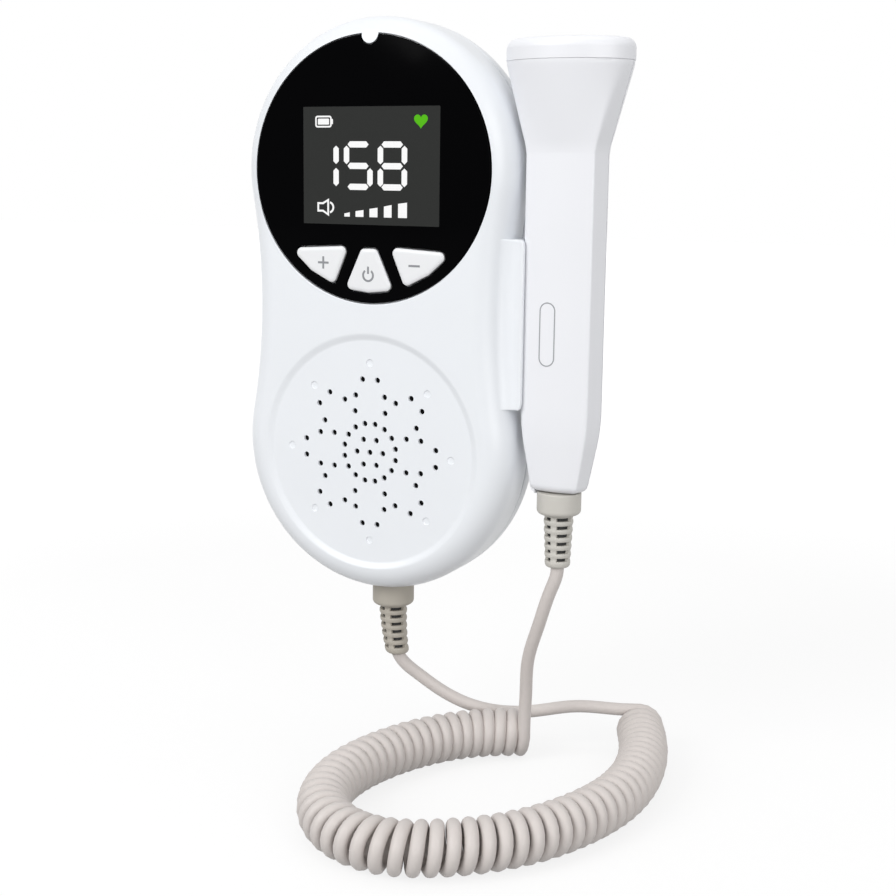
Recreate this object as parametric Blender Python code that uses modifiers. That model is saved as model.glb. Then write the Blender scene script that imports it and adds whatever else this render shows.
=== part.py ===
"""Pocket fetal doppler: a two-lobed main unit, a probe that hangs on its side, and the curly cord between them.

Metres, +Z up. The front faces -Y and the probe hangs on +X. The origin is on the flat rear face, behind the
centre of the round display window.
"""

import math

import bmesh
import bpy
import numpy as np
from mathutils import Matrix, Vector

# Housing
BODY_DEPTH = 0.0266
UPPER_RADIUS = 0.0351
LOWER_RADIUS = 0.0357
LOBE_SPACING = 0.0652
WAIST_RADIUS = 0.1465
FRONT_ROUND = 0.0062
REAR_ROUND = 0.0119
WALL = 0.0022

# Clearances shared by every piece
FIT = 0.0003
OVERRUN = 0.0010

# Facets: steps of an arc, and sides of a round
LOBE_STEPS = 22
WAIST_STEPS = 5
ROUND_STEPS = 3
CORNER_STEPS = 3
LENS_SIDES = 44
ROUND_SIDES = 24
CELL_SIDES = 20
SMALL_SIDES = 12
BOOT_SIDES = 10
HOLE_SIDES = 6
FINE_POINTS = 1500

# Display window and its notch
LENS_MARGIN = 0.0044
LENS_THICKNESS = 0.0012
NOTCH_RADIUS = 0.0021
WINDOW_WIDTH = 0.0358
WINDOW_HEIGHT = 0.0270
WINDOW_X = 0.0003
WINDOW_Z = 0.0010
LCD_BORDER = 0.0016
LCD_THICKNESS = 0.0026

# Keys, on a band round the window's centre
KEYS = ("plus", "power", "minus")
KEY_MARGIN = 0.0026
KEY_TOP_Z = -0.0182
KEY_CORNER_ROUND = 0.0012
KEY_PROUD = 0.0004
KEY_FLANGE = 0.0008
KEY_FLANGE_THICKNESS = 0.0008
POWER_TOP_HALF_WIDTH = 0.0023
POWER_FOOT_HALF_WIDTH = 0.0064
SIDE_KEY_RISE = 0.0005
SIDE_KEY_INNER_X = 0.0055
SIDE_KEY_MIDDLE_X = 0.0156
SIDE_KEY_OUTER_X = 0.0206
SIDE_KEY_FOOT_X = 0.0096
KEY_TRAVEL = 0.0006

# Tact switches and the board that carries them
PLUNGER_RADIUS = 0.0016
PLUNGER_PROUD = 0.0010
PLUNGER_SEAT = 0.0012
SWITCH_SIZE = 0.0050
SWITCH_HEIGHT = 0.0030
BOARD_MARGIN = 0.0075
BOARD_THICKNESS = 0.0016

# Speaker dish and its star of holes
DISH_MARGIN = 0.0079
DISH_DEPTH = 0.0009
DISH_SLOPE = 0.0009
DISH_DROP = 0.0014
HOLE_RADIUS = 0.0006
DIMPLE_RADIUS = 0.0006
DIMPLE_DEPTH = 0.0006
HOLE_RING_1 = 0.0035
HOLE_RING_2 = 0.00705
HOLE_RING_3 = 0.0106
HOLE_RING_4 = 0.0142
HOLE_RING_5 = 0.0177
DIMPLE_RING = 0.0216
POINT_SPREAD_4 = 15.95
POINT_SPREAD_5 = 6.57

# Speaker
SPEAKER_RADIUS = 0.0198
SPEAKER_DEPTH = 0.0036
SPEAKER_SHEET = 0.0008
SPEAKER_RIM = 0.0024
MAGNET_RADIUS = 0.0085
MAGNET_THICKNESS = 0.0014
CONE_THICKNESS = 0.0005
SPEAKER_WALL = 0.0012
SPEAKER_WALL_HEIGHT = 0.0026

# Batteries: two AA cells side by side
CELL_RADIUS = 0.00725
CELL_LENGTH = 0.0505
CELL_NUB_RADIUS = 0.00275
CELL_NUB_HEIGHT = 0.0010
CELL_EDGE = 0.0005
CELL_PLAY = 0.0004
CELLS_CENTRE_Z = -0.0577
CONTACT_THICKNESS = 0.0005
CONTACT_WIDTH = 0.0100
CONTACT_SPRING = 0.0014
TRAY_WALL = 0.0010
TRAY_CORNER = 0.0030
DOOR_THICKNESS = 0.0016
GROOVE_HALF_WIDTH = 0.0070
GROOVE_DEPTH = 0.0004
GROOVE_WIDTH = 0.0008
GROOVE_PITCH = 0.0018
GROOVE_COUNT = 4
GROOVE_INSET = 0.0060

# Case screws, on a circle inside each lobe's edge, turned up or down from the level in degrees
POST_RADIUS = 0.0032
SCREW_SHANK_RADIUS = 0.0010
SCREW_HEAD_RADIUS = 0.0019
SCREW_HEAD_HEIGHT = 0.0012
SCREW_BITE = 0.0050
SCREW_FLOOR = 0.0025
SCREW_INSET = 0.0070
UPPER_SCREW_TURN = 30.0
LOWER_SCREW_TURN = -31.0

# Probe: sections are given as half sizes about its own axis
PROBE_CLEARANCE = 0.0005
PROBE_TAPER_ROOM = 0.0010
PROBE_DEPTH = 0.0100
HEAD_HALF_WIDTH = 0.0149
HEAD_HALF_DEPTH = 0.0098
HANDLE_HALF_WIDTH = 0.0097
HANDLE_HALF_DEPTH = 0.0058
FOOT_HALF_WIDTH = 0.0070
FOOT_HALF_DEPTH = 0.0049
PROBE_TOP_Z = 0.0298
CAP_SEAM_Z = 0.0243
SHOULDER_Z = 0.0040
TAPER_Z = -0.0575
PROBE_FOOT_Z = -0.0738
FOOT_ROUND = 0.0020
CAP_ROUND = 0.0042
PROBE_WALL = 0.0015
FOOT_STEPS = 3
# How far the head has gone over into the handle, from its seam down to the shoulder
CONE_SHARES = (0.0, 0.27, 0.53, 0.77, 0.93, 1.0)
# A quarter of the handle's section, as shares of its half width and half depth
HANDLE_SECTION_SHARES = (
    (1.0, 0.0),
    (0.952, 0.245),
    (0.903, 0.495),
    (0.862, 0.705),
    (0.815, 0.835),
    (0.68, 0.885),
    (0.46, 0.945),
    (0.23, 0.985),
    (0.0, 1.0),
)

# Slot in the probe and the rail on the unit's side
RAIL_TOP_Z = -0.0150
RAIL_LENGTH = 0.0390
RAIL_PAD_HALF_DEPTH = 0.0046
RAIL_PAD_ROUND = 0.0005
RAIL_HOOK_REACH = 0.0026
RAIL_HOOK_PROUD = 0.0004
RAIL_STEM_WIDTH = 0.0022
RAIL_HEAD_WIDTH = 0.0044
RAIL_HEAD_THICKNESS = 0.0012
RAIL_PEG_RADIUS = 0.0012
RAIL_PEG_DROP = 0.0075
RAIL_PEG_PROUD = 0.00025
LIP_THICKNESS = 0.0021
SLOT_MOUTH_Z = -0.0600
CHANNEL_WALL = 0.0009
CHANNEL_TOP_WALL = 0.0020

# Inside the probe
CRYSTAL_RADIUS = 0.0062
CRYSTAL_THICKNESS = 0.0010
CRYSTAL_SPLIT = 0.0010
BACKING_HEIGHT = 0.0055
PROBE_BOARD_THICKNESS = 0.0010
PROBE_BOARD_LENGTH = 0.0480

# Strain reliefs
BOOT_COLLAR_RADIUS = 0.0050
BOOT_COLLAR_HEIGHT = 0.0055
BOOT_COLLAR_ROUND = 0.0008
BOOT_NECK_RADIUS = 0.0022
BOOT_FLANGE_RADIUS = 0.0031
BOOT_FLANGE_THICKNESS = 0.0012
BOOT_LENGTH = 0.0128
BOOT_TOP_RADIUS = 0.0034
BOOT_END_RADIUS = 0.0028
BOOT_CORE_RADIUS = 0.0020
BOOT_SLOTS = 6
BOOT_RIB_SHARE = 0.60
BOOT_START_SHARE = 0.23
BOOT_END_SHARE = 0.56
BOOT_WEB = 0.0014

# Cord: one curly cord, from the unit's boot to the probe's
CORD_DIAMETER = 0.0025
CURL_OUTER_DIAMETER = 0.0120
COIL_AXIS_Z = -0.1390
CURL_TURNS = 50
POINTS_PER_CURL = 8
TAIL_STEP = 0.0046

# Way of the coil's axis on the floor, (x, y), from the probe's end to the unit's end
COIL_ROUTE = (
    (0.0322, -0.0043),
    (0.0222, -0.0106),
    (0.0136, -0.0210),
    (0.0077, -0.0350),
    (0.0058, -0.0505),
    (0.0098, -0.0650),
    (0.0188, -0.0746),
    (0.0308, -0.0776),
    (0.0437, -0.0722),
    (0.0550, -0.0616),
    (0.0630, -0.0471),
    (0.0670, -0.0306),
    (0.0663, -0.0141),
    (0.0626, 0.0004),
    (0.0575, 0.0129),
)

# Ways of the two free stretches, (x, y, z), between a boot and the coil
PROBE_TAIL_ROUTE = (
    (0.0450, -0.0166, -0.0965),
    (0.0424, -0.0155, -0.1020),
    (0.0394, -0.0138, -0.1085),
    (0.0368, -0.0118, -0.1160),
    (0.0355, -0.0100, -0.1235),
    (0.0350, -0.0088, -0.1300),
)
BODY_TAIL_ROUTE = (
    (0.0498, 0.0097, -0.1342),
    (0.0407, 0.0064, -0.1350),
    (0.0317, 0.0045, -0.1362),
    (0.0252, 0.0026, -0.1368),
    (0.0202, 0.0008, -0.1364),
    (0.0158, -0.0016, -0.1350),
    (0.0110, -0.0048, -0.1321),
    (0.0062, -0.0086, -0.1291),
    (0.0021, -0.0120, -0.1262),
)

# Places that follow from the sizes above
FRONT_Y = -BODY_DEPTH
SEAM_Y = -BODY_DEPTH / 2
LENS_RADIUS = UPPER_RADIUS - LENS_MARGIN
KEY_OUTER_RADIUS = LENS_RADIUS - KEY_MARGIN
BOARD_RADIUS = UPPER_RADIUS - BOARD_MARGIN
DISH_RADIUS = LOWER_RADIUS - DISH_MARGIN
DISH_CENTRE_Z = -LOBE_SPACING - DISH_DROP
LENS_SEAT_DEPTH = LENS_THICKNESS + FIT
FLOOR_Y = FRONT_Y + WALL
KEY_FLANGE_Y = FLOOR_Y + FIT
PLUNGER_TOP_Y = KEY_FLANGE_Y + KEY_FLANGE_THICKNESS + FIT
SWITCH_TOP_Y = PLUNGER_TOP_Y + PLUNGER_PROUD
BOARD_FRONT_Y = SWITCH_TOP_Y + SWITCH_HEIGHT + FIT
BOARD_REAR_Y = BOARD_FRONT_Y + BOARD_THICKNESS
SPEAKER_FRONT_Y = FLOOR_Y + FIT
BODY_BOTTOM_Z = -LOBE_SPACING - LOWER_RADIUS
PROBE_Y = FRONT_Y + PROBE_DEPTH
PROBE_LEFT_X = max(UPPER_RADIUS, LOWER_RADIUS - PROBE_TAPER_ROOM) + PROBE_CLEARANCE
PROBE_X = PROBE_LEFT_X + HANDLE_HALF_WIDTH
TRAY_HALF_WIDTH = 2 * CELL_RADIUS + FIT / 2 + CELL_PLAY
TRAY_HALF_LENGTH = CELL_LENGTH / 2 + CONTACT_SPRING + CONTACT_THICKNESS + 2 * FIT
DOOR_HALF_WIDTH = TRAY_HALF_WIDTH + TRAY_WALL
DOOR_HALF_LENGTH = TRAY_HALF_LENGTH + TRAY_WALL
DOOR_FOOT_Z = CELLS_CENTRE_Z - DOOR_HALF_LENGTH
TRAY_RIM_Y = -DOOR_THICKNESS - FIT
CELL_X = CELL_RADIUS + FIT / 2
CELL_Y = TRAY_RIM_Y - FIT - CELL_RADIUS
TRAY_FRONT_Y = CELL_Y - CELL_RADIUS - FIT - TRAY_WALL
LIPS_X = PROBE_LEFT_X + LIP_THICKNESS
SLOT_BACK_X = LIPS_X + RAIL_HEAD_THICKNESS + 2 * FIT
SLOT_HALF_DEPTH = RAIL_HEAD_WIDTH / 2 + FIT
CHANNEL_BACK_X = SLOT_BACK_X + CHANNEL_WALL
CHANNEL_HALF_DEPTH = SLOT_HALF_DEPTH + CHANNEL_WALL
CHANNEL_TOP_Z = RAIL_TOP_Z + CHANNEL_TOP_WALL
CURL_RADIUS = (CURL_OUTER_DIAMETER - CORD_DIAMETER) / 2

# The waist's centre, and the turns at which it meets the upper and the lower lobe
UPPER_REACH = UPPER_RADIUS + WAIST_RADIUS
LOWER_REACH = LOWER_RADIUS + WAIST_RADIUS
WAIST_Z = (LOWER_REACH**2 - UPPER_REACH**2 - LOBE_SPACING**2) / (2 * LOBE_SPACING)
WAIST_X = math.sqrt(UPPER_REACH**2 - WAIST_Z**2)
UPPER_TURN = math.atan2(WAIST_Z, WAIST_X)
LOWER_TURN = math.atan2(WAIST_Z + LOBE_SPACING, WAIST_X)
RAIL_PEG_END_X = WAIST_X - WAIST_RADIUS - WALL - RAIL_PEG_PROUD

PROBE_PIECES = (
    "probe_front_shell",
    "probe_rear_shell",
    "probe_cap",
    "slot_channel",
    "crystal_send",
    "crystal_receive",
    "crystal_backing",
    "probe_board",
    "boot_probe",
)

# Finishes: name, colour, roughness, metallic
FINISHES = {
    "white_abs": ((0.82, 0.82, 0.83), 0.28, 0.0),
    "cap_abs": ((0.80, 0.80, 0.81), 0.34, 0.0),
    "black_window": ((0.006, 0.006, 0.007), 0.06, 0.0),
    "lcd_glass": ((0.04, 0.045, 0.04), 0.20, 0.0),
    "key_plastic": ((0.80, 0.80, 0.80), 0.35, 0.0),
    "grey_cord": ((0.33, 0.31, 0.29), 0.55, 0.0),
    "board_green": ((0.03, 0.16, 0.08), 0.45, 0.0),
    "switch_black": ((0.02, 0.02, 0.02), 0.50, 0.0),
    "steel": ((0.55, 0.55, 0.56), 0.35, 1.0),
    "cone_paper": ((0.05, 0.05, 0.05), 0.90, 0.0),
    "cell_jacket": ((0.10, 0.12, 0.16), 0.35, 0.0),
    "ceramic_disc": ((0.75, 0.70, 0.55), 0.50, 0.0),
    "backing_resin": ((0.12, 0.12, 0.13), 0.80, 0.0),
}


def clear_scene():
    """Start from nothing, so that the script gives the same model each run."""
    for old in list(bpy.data.objects):
        bpy.data.objects.remove(old, do_unlink=True)


def make_collection(name):
    collection = bpy.data.collections.new(name)
    bpy.context.scene.collection.children.link(collection)
    return collection


def make_material(name):
    colour, roughness, metallic = FINISHES[name]
    material = bpy.data.materials.new(name)
    material.use_nodes = True
    shader = material.node_tree.nodes["Principled BSDF"]
    shader.inputs["Base Color"].default_value = (*colour, 1.0)
    shader.inputs["Roughness"].default_value = roughness
    shader.inputs["Metallic"].default_value = metallic
    return material


clear_scene()
PARTS = make_collection("fetal_doppler")
CUTTERS = make_collection("cutters")
MATERIALS = {name: make_material(name) for name in FINISHES}


def add_part(name, data, finish):
    """Put a mesh or curve in the model under its part name, with its finish."""
    data.materials.clear()
    data.materials.append(MATERIALS[finish])
    part = bpy.data.objects.new(name, data)
    PARTS.objects.link(part)
    return part


def add_cutter(name, data):
    """A helper solid for a Boolean: kept apart and never rendered."""
    cutter = bpy.data.objects.new(name, data)
    CUTTERS.objects.link(cutter)
    cutter.hide_render = True
    cutter.display_type = "WIRE"
    return cutter


def combine(part, cutter, operation):
    """Cut with, join or keep what lies inside another solid, exactly."""
    boolean = part.modifiers.new(cutter.name, "BOOLEAN")
    boolean.operation = operation
    boolean.solver = "EXACT"
    boolean.object = cutter


def mesh_from(builder, name):
    mesh = bpy.data.meshes.new(name)
    builder.to_mesh(mesh)
    builder.free()
    return mesh


def box_into(builder, low, high):
    """A box between two corners."""
    size = Vector(high) - Vector(low)
    middle = (Vector(high) + Vector(low)) / 2
    bmesh.ops.create_cube(builder, size=1.0, matrix=Matrix.Translation(middle) @ Matrix.Diagonal((*size, 1.0)))


def rod_into(builder, radius, start, end, sides, end_radius=None):
    """A round bar or cone frustum from one point to another."""
    start, end = Vector(start), Vector(end)
    along = end - start
    turn = along.to_track_quat("Z", "Y").to_matrix().to_4x4()
    bmesh.ops.create_cone(
        builder,
        cap_ends=True,
        segments=sides,
        radius1=radius,
        radius2=radius if end_radius is None else end_radius,
        depth=along.length,
        matrix=Matrix.Translation((start + end) / 2) @ turn,
    )


def boxes(name, corner_pairs):
    builder = bmesh.new()
    for low, high in corner_pairs:
        box_into(builder, low, high)
    return mesh_from(builder, name)


def rods(name, bars, sides):
    builder = bmesh.new()
    for radius, start, end in bars:
        rod_into(builder, radius, start, end, sides)
    return mesh_from(builder, name)


def turned(name, profile, place, steps, upright=True, closed=False):
    """Turn an (r, h) profile about an axis through a place. The axis runs up, or towards the rear."""
    mesh = bpy.data.meshes.new(name)
    points = [(radius, 0.0, height) for radius, height in profile]
    edges = [(i, i + 1) for i in range(len(points) - 1)]
    if closed:
        edges.append((len(points) - 1, 0))
    mesh.from_pydata(points, edges, [])
    helper = bpy.data.objects.new(name + "_profile", mesh)
    CUTTERS.objects.link(helper)
    screw = helper.modifiers.new("turn", "SCREW")
    screw.axis = "Z"
    screw.steps = screw.render_steps = steps
    screw.use_merge_vertices = True
    screw.merge_threshold = FIT / 10
    turned_mesh = bpy.data.meshes.new_from_object(helper.evaluated_get(bpy.context.evaluated_depsgraph_get()))
    bpy.data.objects.remove(helper, do_unlink=True)
    turned_mesh.name = name
    turn = Matrix.Identity(4) if upright else Matrix.Rotation(-math.pi / 2, 4, "X")
    turned_mesh.transform(Matrix.Translation(place) @ turn)
    builder = bmesh.new()
    builder.from_mesh(turned_mesh)
    bmesh.ops.recalc_face_normals(builder, faces=builder.faces)
    builder.to_mesh(turned_mesh)
    builder.free()
    return turned_mesh


def skin(name, rings, close_first=False, close_last=True):
    """A surface carried through rings of equal count, closed over its ends as asked, facing outwards."""
    builder = bmesh.new()
    rows = [[builder.verts.new(point) for point in ring] for ring in rings]
    count = len(rows[0])
    for row, after in zip(rows, rows[1:]):
        for i in range(count):
            j = (i + 1) % count
            builder.faces.new((row[i], row[j], after[j], after[i]))
    if close_last:
        builder.faces.new(rows[-1])
    if close_first:
        builder.faces.new(reversed(rows[0]))
    builder.normal_update()
    bmesh.ops.recalc_face_normals(builder, faces=builder.faces)
    middle = sum((vert.co for vert in builder.verts), Vector()) / len(builder.verts)
    if sum(face.normal.dot(face.calc_center_median() - middle) * face.calc_area() for face in builder.faces) < 0:
        bmesh.ops.reverse_faces(builder, faces=builder.faces)
    return mesh_from(builder, name)


def slab(name, outline, y_front, y_rear):
    """A flat (x, z) outline given a thickness in depth."""
    return skin(name, [[(x, y, z) for x, z in outline] for y in (y_front, y_rear)], close_first=True)


def column(name, outline, z_foot, z_top):
    """A flat (x, y) outline given a height."""
    return skin(name, [[(x, y, z) for x, y in outline] for z in (z_foot, z_top)], close_first=True)


def thicken(part, thickness):
    """Give an open skin its wall, inwards."""
    solidify = part.modifiers.new("wall", "SOLIDIFY")
    solidify.thickness = thickness
    solidify.offset = -1.0
    solidify.use_even_offset = True


def arc(centre_x, centre_z, radius, start, end, steps):
    """Points on an arc from start to end in radians, without the last one."""
    angles = [start + (end - start) * i / steps for i in range(steps)]
    return [(centre_x + radius * math.cos(a), centre_z + radius * math.sin(a)) for a in angles]


def grown(corners, distance):
    """A convex outline's corners moved out so that every side shifts by the distance."""
    moved = []
    for i, corner in enumerate(corners):
        here = Vector(corner)
        back = (Vector(corners[i - 1]) - here).normalized()
        on = (Vector(corners[(i + 1) % len(corners)]) - here).normalized()
        moved.append(tuple(here - (back + on).normalized() * distance / math.sin(back.angle(on) / 2)))
    return moved


def rounded(corners, radius, steps=CORNER_STEPS):
    """A convex outline, counter-clockwise, with each corner turned into an arc of the radius."""
    outline = []
    for i, corner in enumerate(corners):
        here = Vector(corner)
        back = (Vector(corners[i - 1]) - here).normalized()
        on = (Vector(corners[(i + 1) % len(corners)]) - here).normalized()
        half_angle = back.angle(on) / 2
        centre = here + (back + on).normalized() * radius / math.sin(half_angle)
        touch = here + back * radius / math.tan(half_angle) - centre
        start = math.atan2(touch.y, touch.x)
        sweep = math.pi - 2 * half_angle
        outline += arc(centre.x, centre.y, radius, start, start + sweep, steps)
        outline.append((centre.x + radius * math.cos(start + sweep), centre.y + radius * math.sin(start + sweep)))
    return outline


def rectangle(centre_x, centre_z, half_width, half_height):
    """Corners of an upright rectangle, counter-clockwise."""
    left, right = centre_x - half_width, centre_x + half_width
    low, high = centre_z - half_height, centre_z + half_height
    return [(left, low), (right, low), (right, high), (left, high)]


# Housing


def housing_outline(inset):
    """Outline of the housing, (x, z), drawn in by the inset: two round lobes joined by hollow waists."""
    waist = WAIST_RADIUS + inset
    return (
        arc(WAIST_X, WAIST_Z, waist, math.pi + LOWER_TURN, math.pi + UPPER_TURN, WAIST_STEPS)
        + arc(0.0, 0.0, UPPER_RADIUS - inset, UPPER_TURN, math.pi - UPPER_TURN, LOBE_STEPS)
        + arc(-WAIST_X, WAIST_Z, waist, -UPPER_TURN, -LOWER_TURN, WAIST_STEPS)
        + arc(0.0, -LOBE_SPACING, LOWER_RADIUS - inset, math.pi - LOWER_TURN, 2 * math.pi + LOWER_TURN, LOBE_STEPS)
    )


def housing_half(name, facing, rounding):
    """A moulded half: its side from the seam, a rounded edge, then the flat face. Facing is -1 for the front."""
    face_y = FRONT_Y if facing < 0 else 0.0
    stations = [(0.0, SEAM_Y + facing * FIT / 2)]
    for step in range(ROUND_STEPS + 1):
        angle = math.pi / 2 * step / ROUND_STEPS
        stations.append((rounding * (1 - math.cos(angle)), face_y - facing * rounding * (1 - math.sin(angle))))
    rings = [[(x, y, z) for x, z in housing_outline(inset)] for inset, y in stations]
    half = add_part(name, skin(name, rings), "white_abs")
    thicken(half, WALL)
    return half


def hole_places():
    """Places of the speaker holes, (x, z): a centre, two full rings and a star of eight points."""
    polar = [(0.0, 0.0)]
    polar += [(HOLE_RING_1, 360 / 6 * (k + 0.5)) for k in range(6)]
    polar += [(HOLE_RING_2, 360 / 16 * (k + 0.5)) for k in range(16)]
    polar += [(HOLE_RING_3, 360 / 8 * (k + 0.5)) for k in range(8)]
    for ring, spread in ((HOLE_RING_4, POINT_SPREAD_4), (HOLE_RING_5, POINT_SPREAD_5)):
        polar += [(ring, 360 / 8 * k + side * spread) for k in range(8) for side in (-1, 1)]
    return [around_dish(radius, turn) for radius, turn in polar]


def around_dish(radius, degrees):
    turn = math.radians(degrees)
    return radius * math.sin(turn), DISH_CENTRE_Z + radius * math.cos(turn)


def key_corners(kind):
    """Corners of a key, (x, z), counter-clockwise. Their feet lie on one circle round the window's centre."""
    if kind == "power":
        foot_z = -math.sqrt(KEY_OUTER_RADIUS**2 - POWER_FOOT_HALF_WIDTH**2)
        return [
            (-POWER_FOOT_HALF_WIDTH, foot_z),
            (0.0, -KEY_OUTER_RADIUS),
            (POWER_FOOT_HALF_WIDTH, foot_z),
            (POWER_TOP_HALF_WIDTH, KEY_TOP_Z),
            (-POWER_TOP_HALF_WIDTH, KEY_TOP_Z),
        ]
    outer = (SIDE_KEY_FOOT_X, SIDE_KEY_MIDDLE_X, SIDE_KEY_OUTER_X)
    right_key = [(x, -math.sqrt(KEY_OUTER_RADIUS**2 - x**2)) for x in outer]
    right_key.append((SIDE_KEY_INNER_X, KEY_TOP_Z + SIDE_KEY_RISE))
    return right_key if kind == "minus" else [(-x, z) for x, z in reversed(right_key)]


def key_outline(kind, growth=0.0):
    return rounded(grown(key_corners(kind), growth), KEY_CORNER_ROUND + growth)


def key_middle(kind):
    corners = key_corners(kind)
    return sum(x for x, _ in corners) / len(corners), sum(z for _, z in corners) / len(corners)


def screw_places():
    """Places of the four screws, (x, z): the upper pair, then the lower pair."""
    places = []
    for lobe_z, lobe_radius, degrees in (
        (0.0, UPPER_RADIUS, UPPER_SCREW_TURN),
        (-LOBE_SPACING, LOWER_RADIUS, LOWER_SCREW_TURN),
    ):
        radius = lobe_radius - SCREW_INSET
        turn = math.radians(degrees)
        places += [(side * radius * math.cos(turn), lobe_z + radius * math.sin(turn)) for side in (-1, 1)]
    return places


def peg_heights():
    return RAIL_TOP_Z - RAIL_PEG_DROP, RAIL_TOP_Z - RAIL_LENGTH + RAIL_PEG_DROP


def boot_hole():
    """Round opening for the unit's strain relief, half in each shell."""
    ends = [(0.0, SEAM_Y, BODY_BOTTOM_Z + rise) for rise in (-OVERRUN, WALL + OVERRUN)]
    return rods("boot_hole", [(BOOT_NECK_RADIUS + FIT, *ends)], SMALL_SIDES)


def make_front_cover():
    cover = housing_half("front_cover", -1, FRONT_ROUND)
    floor_core_y = FLOOR_Y - (WALL - LENS_SEAT_DEPTH) / 2
    posts = [(POST_RADIUS, (x, floor_core_y, z), (x, SEAM_Y - FIT / 2, z)) for x, z in screw_places()]
    combine(cover, add_cutter("front_posts", rods("front_posts", posts, SMALL_SIDES)), "UNION")

    inner, outer = SPEAKER_RADIUS + FIT, SPEAKER_RADIUS + FIT + SPEAKER_WALL
    foot, top = -(WALL - DISH_DEPTH) / 2, SPEAKER_WALL_HEIGHT
    section = [(inner, foot), (outer, foot), (outer, top), (inner, top)]
    wall = turned("speaker_wall", section, (0.0, FLOOR_Y, DISH_CENTRE_Z), ROUND_SIDES, upright=False, closed=True)
    combine(cover, add_cutter("speaker_wall", wall), "UNION")

    seat = [(LENS_RADIUS + FIT, (0.0, FRONT_Y - OVERRUN, 0.0), (0.0, FRONT_Y + LENS_SEAT_DEPTH, 0.0))]
    lens_seat = add_cutter("lens_seat", rods("lens_seat", seat, LENS_SIDES))
    combine(lens_seat, add_cutter("notch_tab", notch_rod("notch_tab", NOTCH_RADIUS)), "DIFFERENCE")
    combine(cover, lens_seat, "DIFFERENCE")

    window = [
        (
            (WINDOW_X - WINDOW_WIDTH / 2, FRONT_Y, WINDOW_Z - WINDOW_HEIGHT / 2),
            (WINDOW_X + WINDOW_WIDTH / 2, FLOOR_Y + OVERRUN, WINDOW_Z + WINDOW_HEIGHT / 2),
        )
    ]
    combine(cover, add_cutter("window_hole", boxes("window_hole", window)), "DIFFERENCE")
    for kind in KEYS:
        name = "key_hole_" + kind
        combine(cover, add_cutter(name, slab(name, key_outline(kind, FIT), FRONT_Y, FLOOR_Y + OVERRUN)), "DIFFERENCE")

    slope = DISH_SLOPE / DISH_DEPTH
    builder = bmesh.new()
    rod_into(
        builder,
        DISH_RADIUS + OVERRUN * slope,
        (0.0, FRONT_Y - OVERRUN, DISH_CENTRE_Z),
        (0.0, FRONT_Y + DISH_DEPTH, DISH_CENTRE_Z),
        LENS_SIDES,
        end_radius=DISH_RADIUS - DISH_SLOPE,
    )
    combine(cover, add_cutter("dish", mesh_from(builder, "dish")), "DIFFERENCE")

    dish_y = FRONT_Y + DISH_DEPTH
    holes = [(HOLE_RADIUS, (x, dish_y - DISH_DEPTH / 2, z), (x, FLOOR_Y + OVERRUN, z)) for x, z in hole_places()]
    for k in range(8):
        x, z = around_dish(DIMPLE_RING, 360 / 8 * k)
        holes.append((DIMPLE_RADIUS, (x, dish_y - DISH_DEPTH / 2, z), (x, dish_y + DIMPLE_DEPTH, z)))
    combine(cover, add_cutter("speaker_holes", rods("speaker_holes", holes, HOLE_SIDES)), "DIFFERENCE")

    pilot = SCREW_SHANK_RADIUS + FIT
    pilots = [(pilot, (x, SEAM_Y - SCREW_BITE - FIT, z), (x, SEAM_Y + OVERRUN, z)) for x, z in screw_places()]
    combine(cover, add_cutter("pilot_holes", rods("pilot_holes", pilots, HOLE_SIDES)), "DIFFERENCE")
    pegs = [(RAIL_PEG_RADIUS + FIT, (RAIL_PEG_END_X - FIT, PROBE_Y, z), (UPPER_RADIUS, PROBE_Y, z)) for z in peg_heights()]
    combine(cover, add_cutter("peg_holes", rods("peg_holes", pegs, SMALL_SIDES)), "DIFFERENCE")
    combine(cover, add_cutter("front_boot_hole", boot_hole()), "DIFFERENCE")


def make_rear_cover():
    cover = housing_half("rear_cover", 1, REAR_ROUND)
    posts = [(POST_RADIUS, (x, -WALL / 2, z), (x, SEAM_Y + FIT / 2, z)) for x, z in screw_places()]
    rear_posts = add_cutter("rear_posts", rods("rear_posts", posts, SMALL_SIDES))
    rings = [[(x, y, z) for x, z in housing_outline(inset)] for inset, y in rear_core_stations()]
    core = skin("rear_core", rings, close_first=True)
    combine(rear_posts, add_cutter("rear_core", core), "INTERSECT")
    combine(cover, rear_posts, "UNION")
    opening = rounded(grown(door_corners(), FIT), TRAY_CORNER + FIT)
    combine(cover, add_cutter("door_opening", slab("door_opening", opening, -2 * WALL, OVERRUN)), "DIFFERENCE")
    seat_y = SEAM_Y + FIT / 2 + SCREW_FLOOR
    shanks = [(SCREW_SHANK_RADIUS + FIT, (x, SEAM_Y, z), (x, seat_y + OVERRUN, z)) for x, z in screw_places()]
    combine(cover, add_cutter("shank_holes", rods("shank_holes", shanks, SMALL_SIDES)), "DIFFERENCE")
    heads = [(SCREW_HEAD_RADIUS + FIT, (x, seat_y, z), (x, OVERRUN, z)) for x, z in screw_places()]
    combine(cover, add_cutter("head_pockets", rods("head_pockets", heads, SMALL_SIDES)), "DIFFERENCE")
    combine(cover, add_cutter("rear_boot_hole", boot_hole()), "DIFFERENCE")


def rear_core_stations():
    """Middle of the rear wall, where the posts end inside it."""
    middle = WALL / 2
    rounding = REAR_ROUND - middle
    stations = [(middle, SEAM_Y + FIT / 2)]
    for step in range(ROUND_STEPS + 1):
        angle = math.pi / 2 * step / ROUND_STEPS
        stations.append((middle + rounding * (1 - math.cos(angle)), -middle - rounding * (1 - math.sin(angle))))
    return stations


def notch_rod(name, radius):
    ends = [(0.0, FRONT_Y + shift, LENS_RADIUS) for shift in (-2 * OVERRUN, WALL)]
    return rods(name, [(radius, *ends)], ROUND_SIDES)


# Window, display and keys


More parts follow.
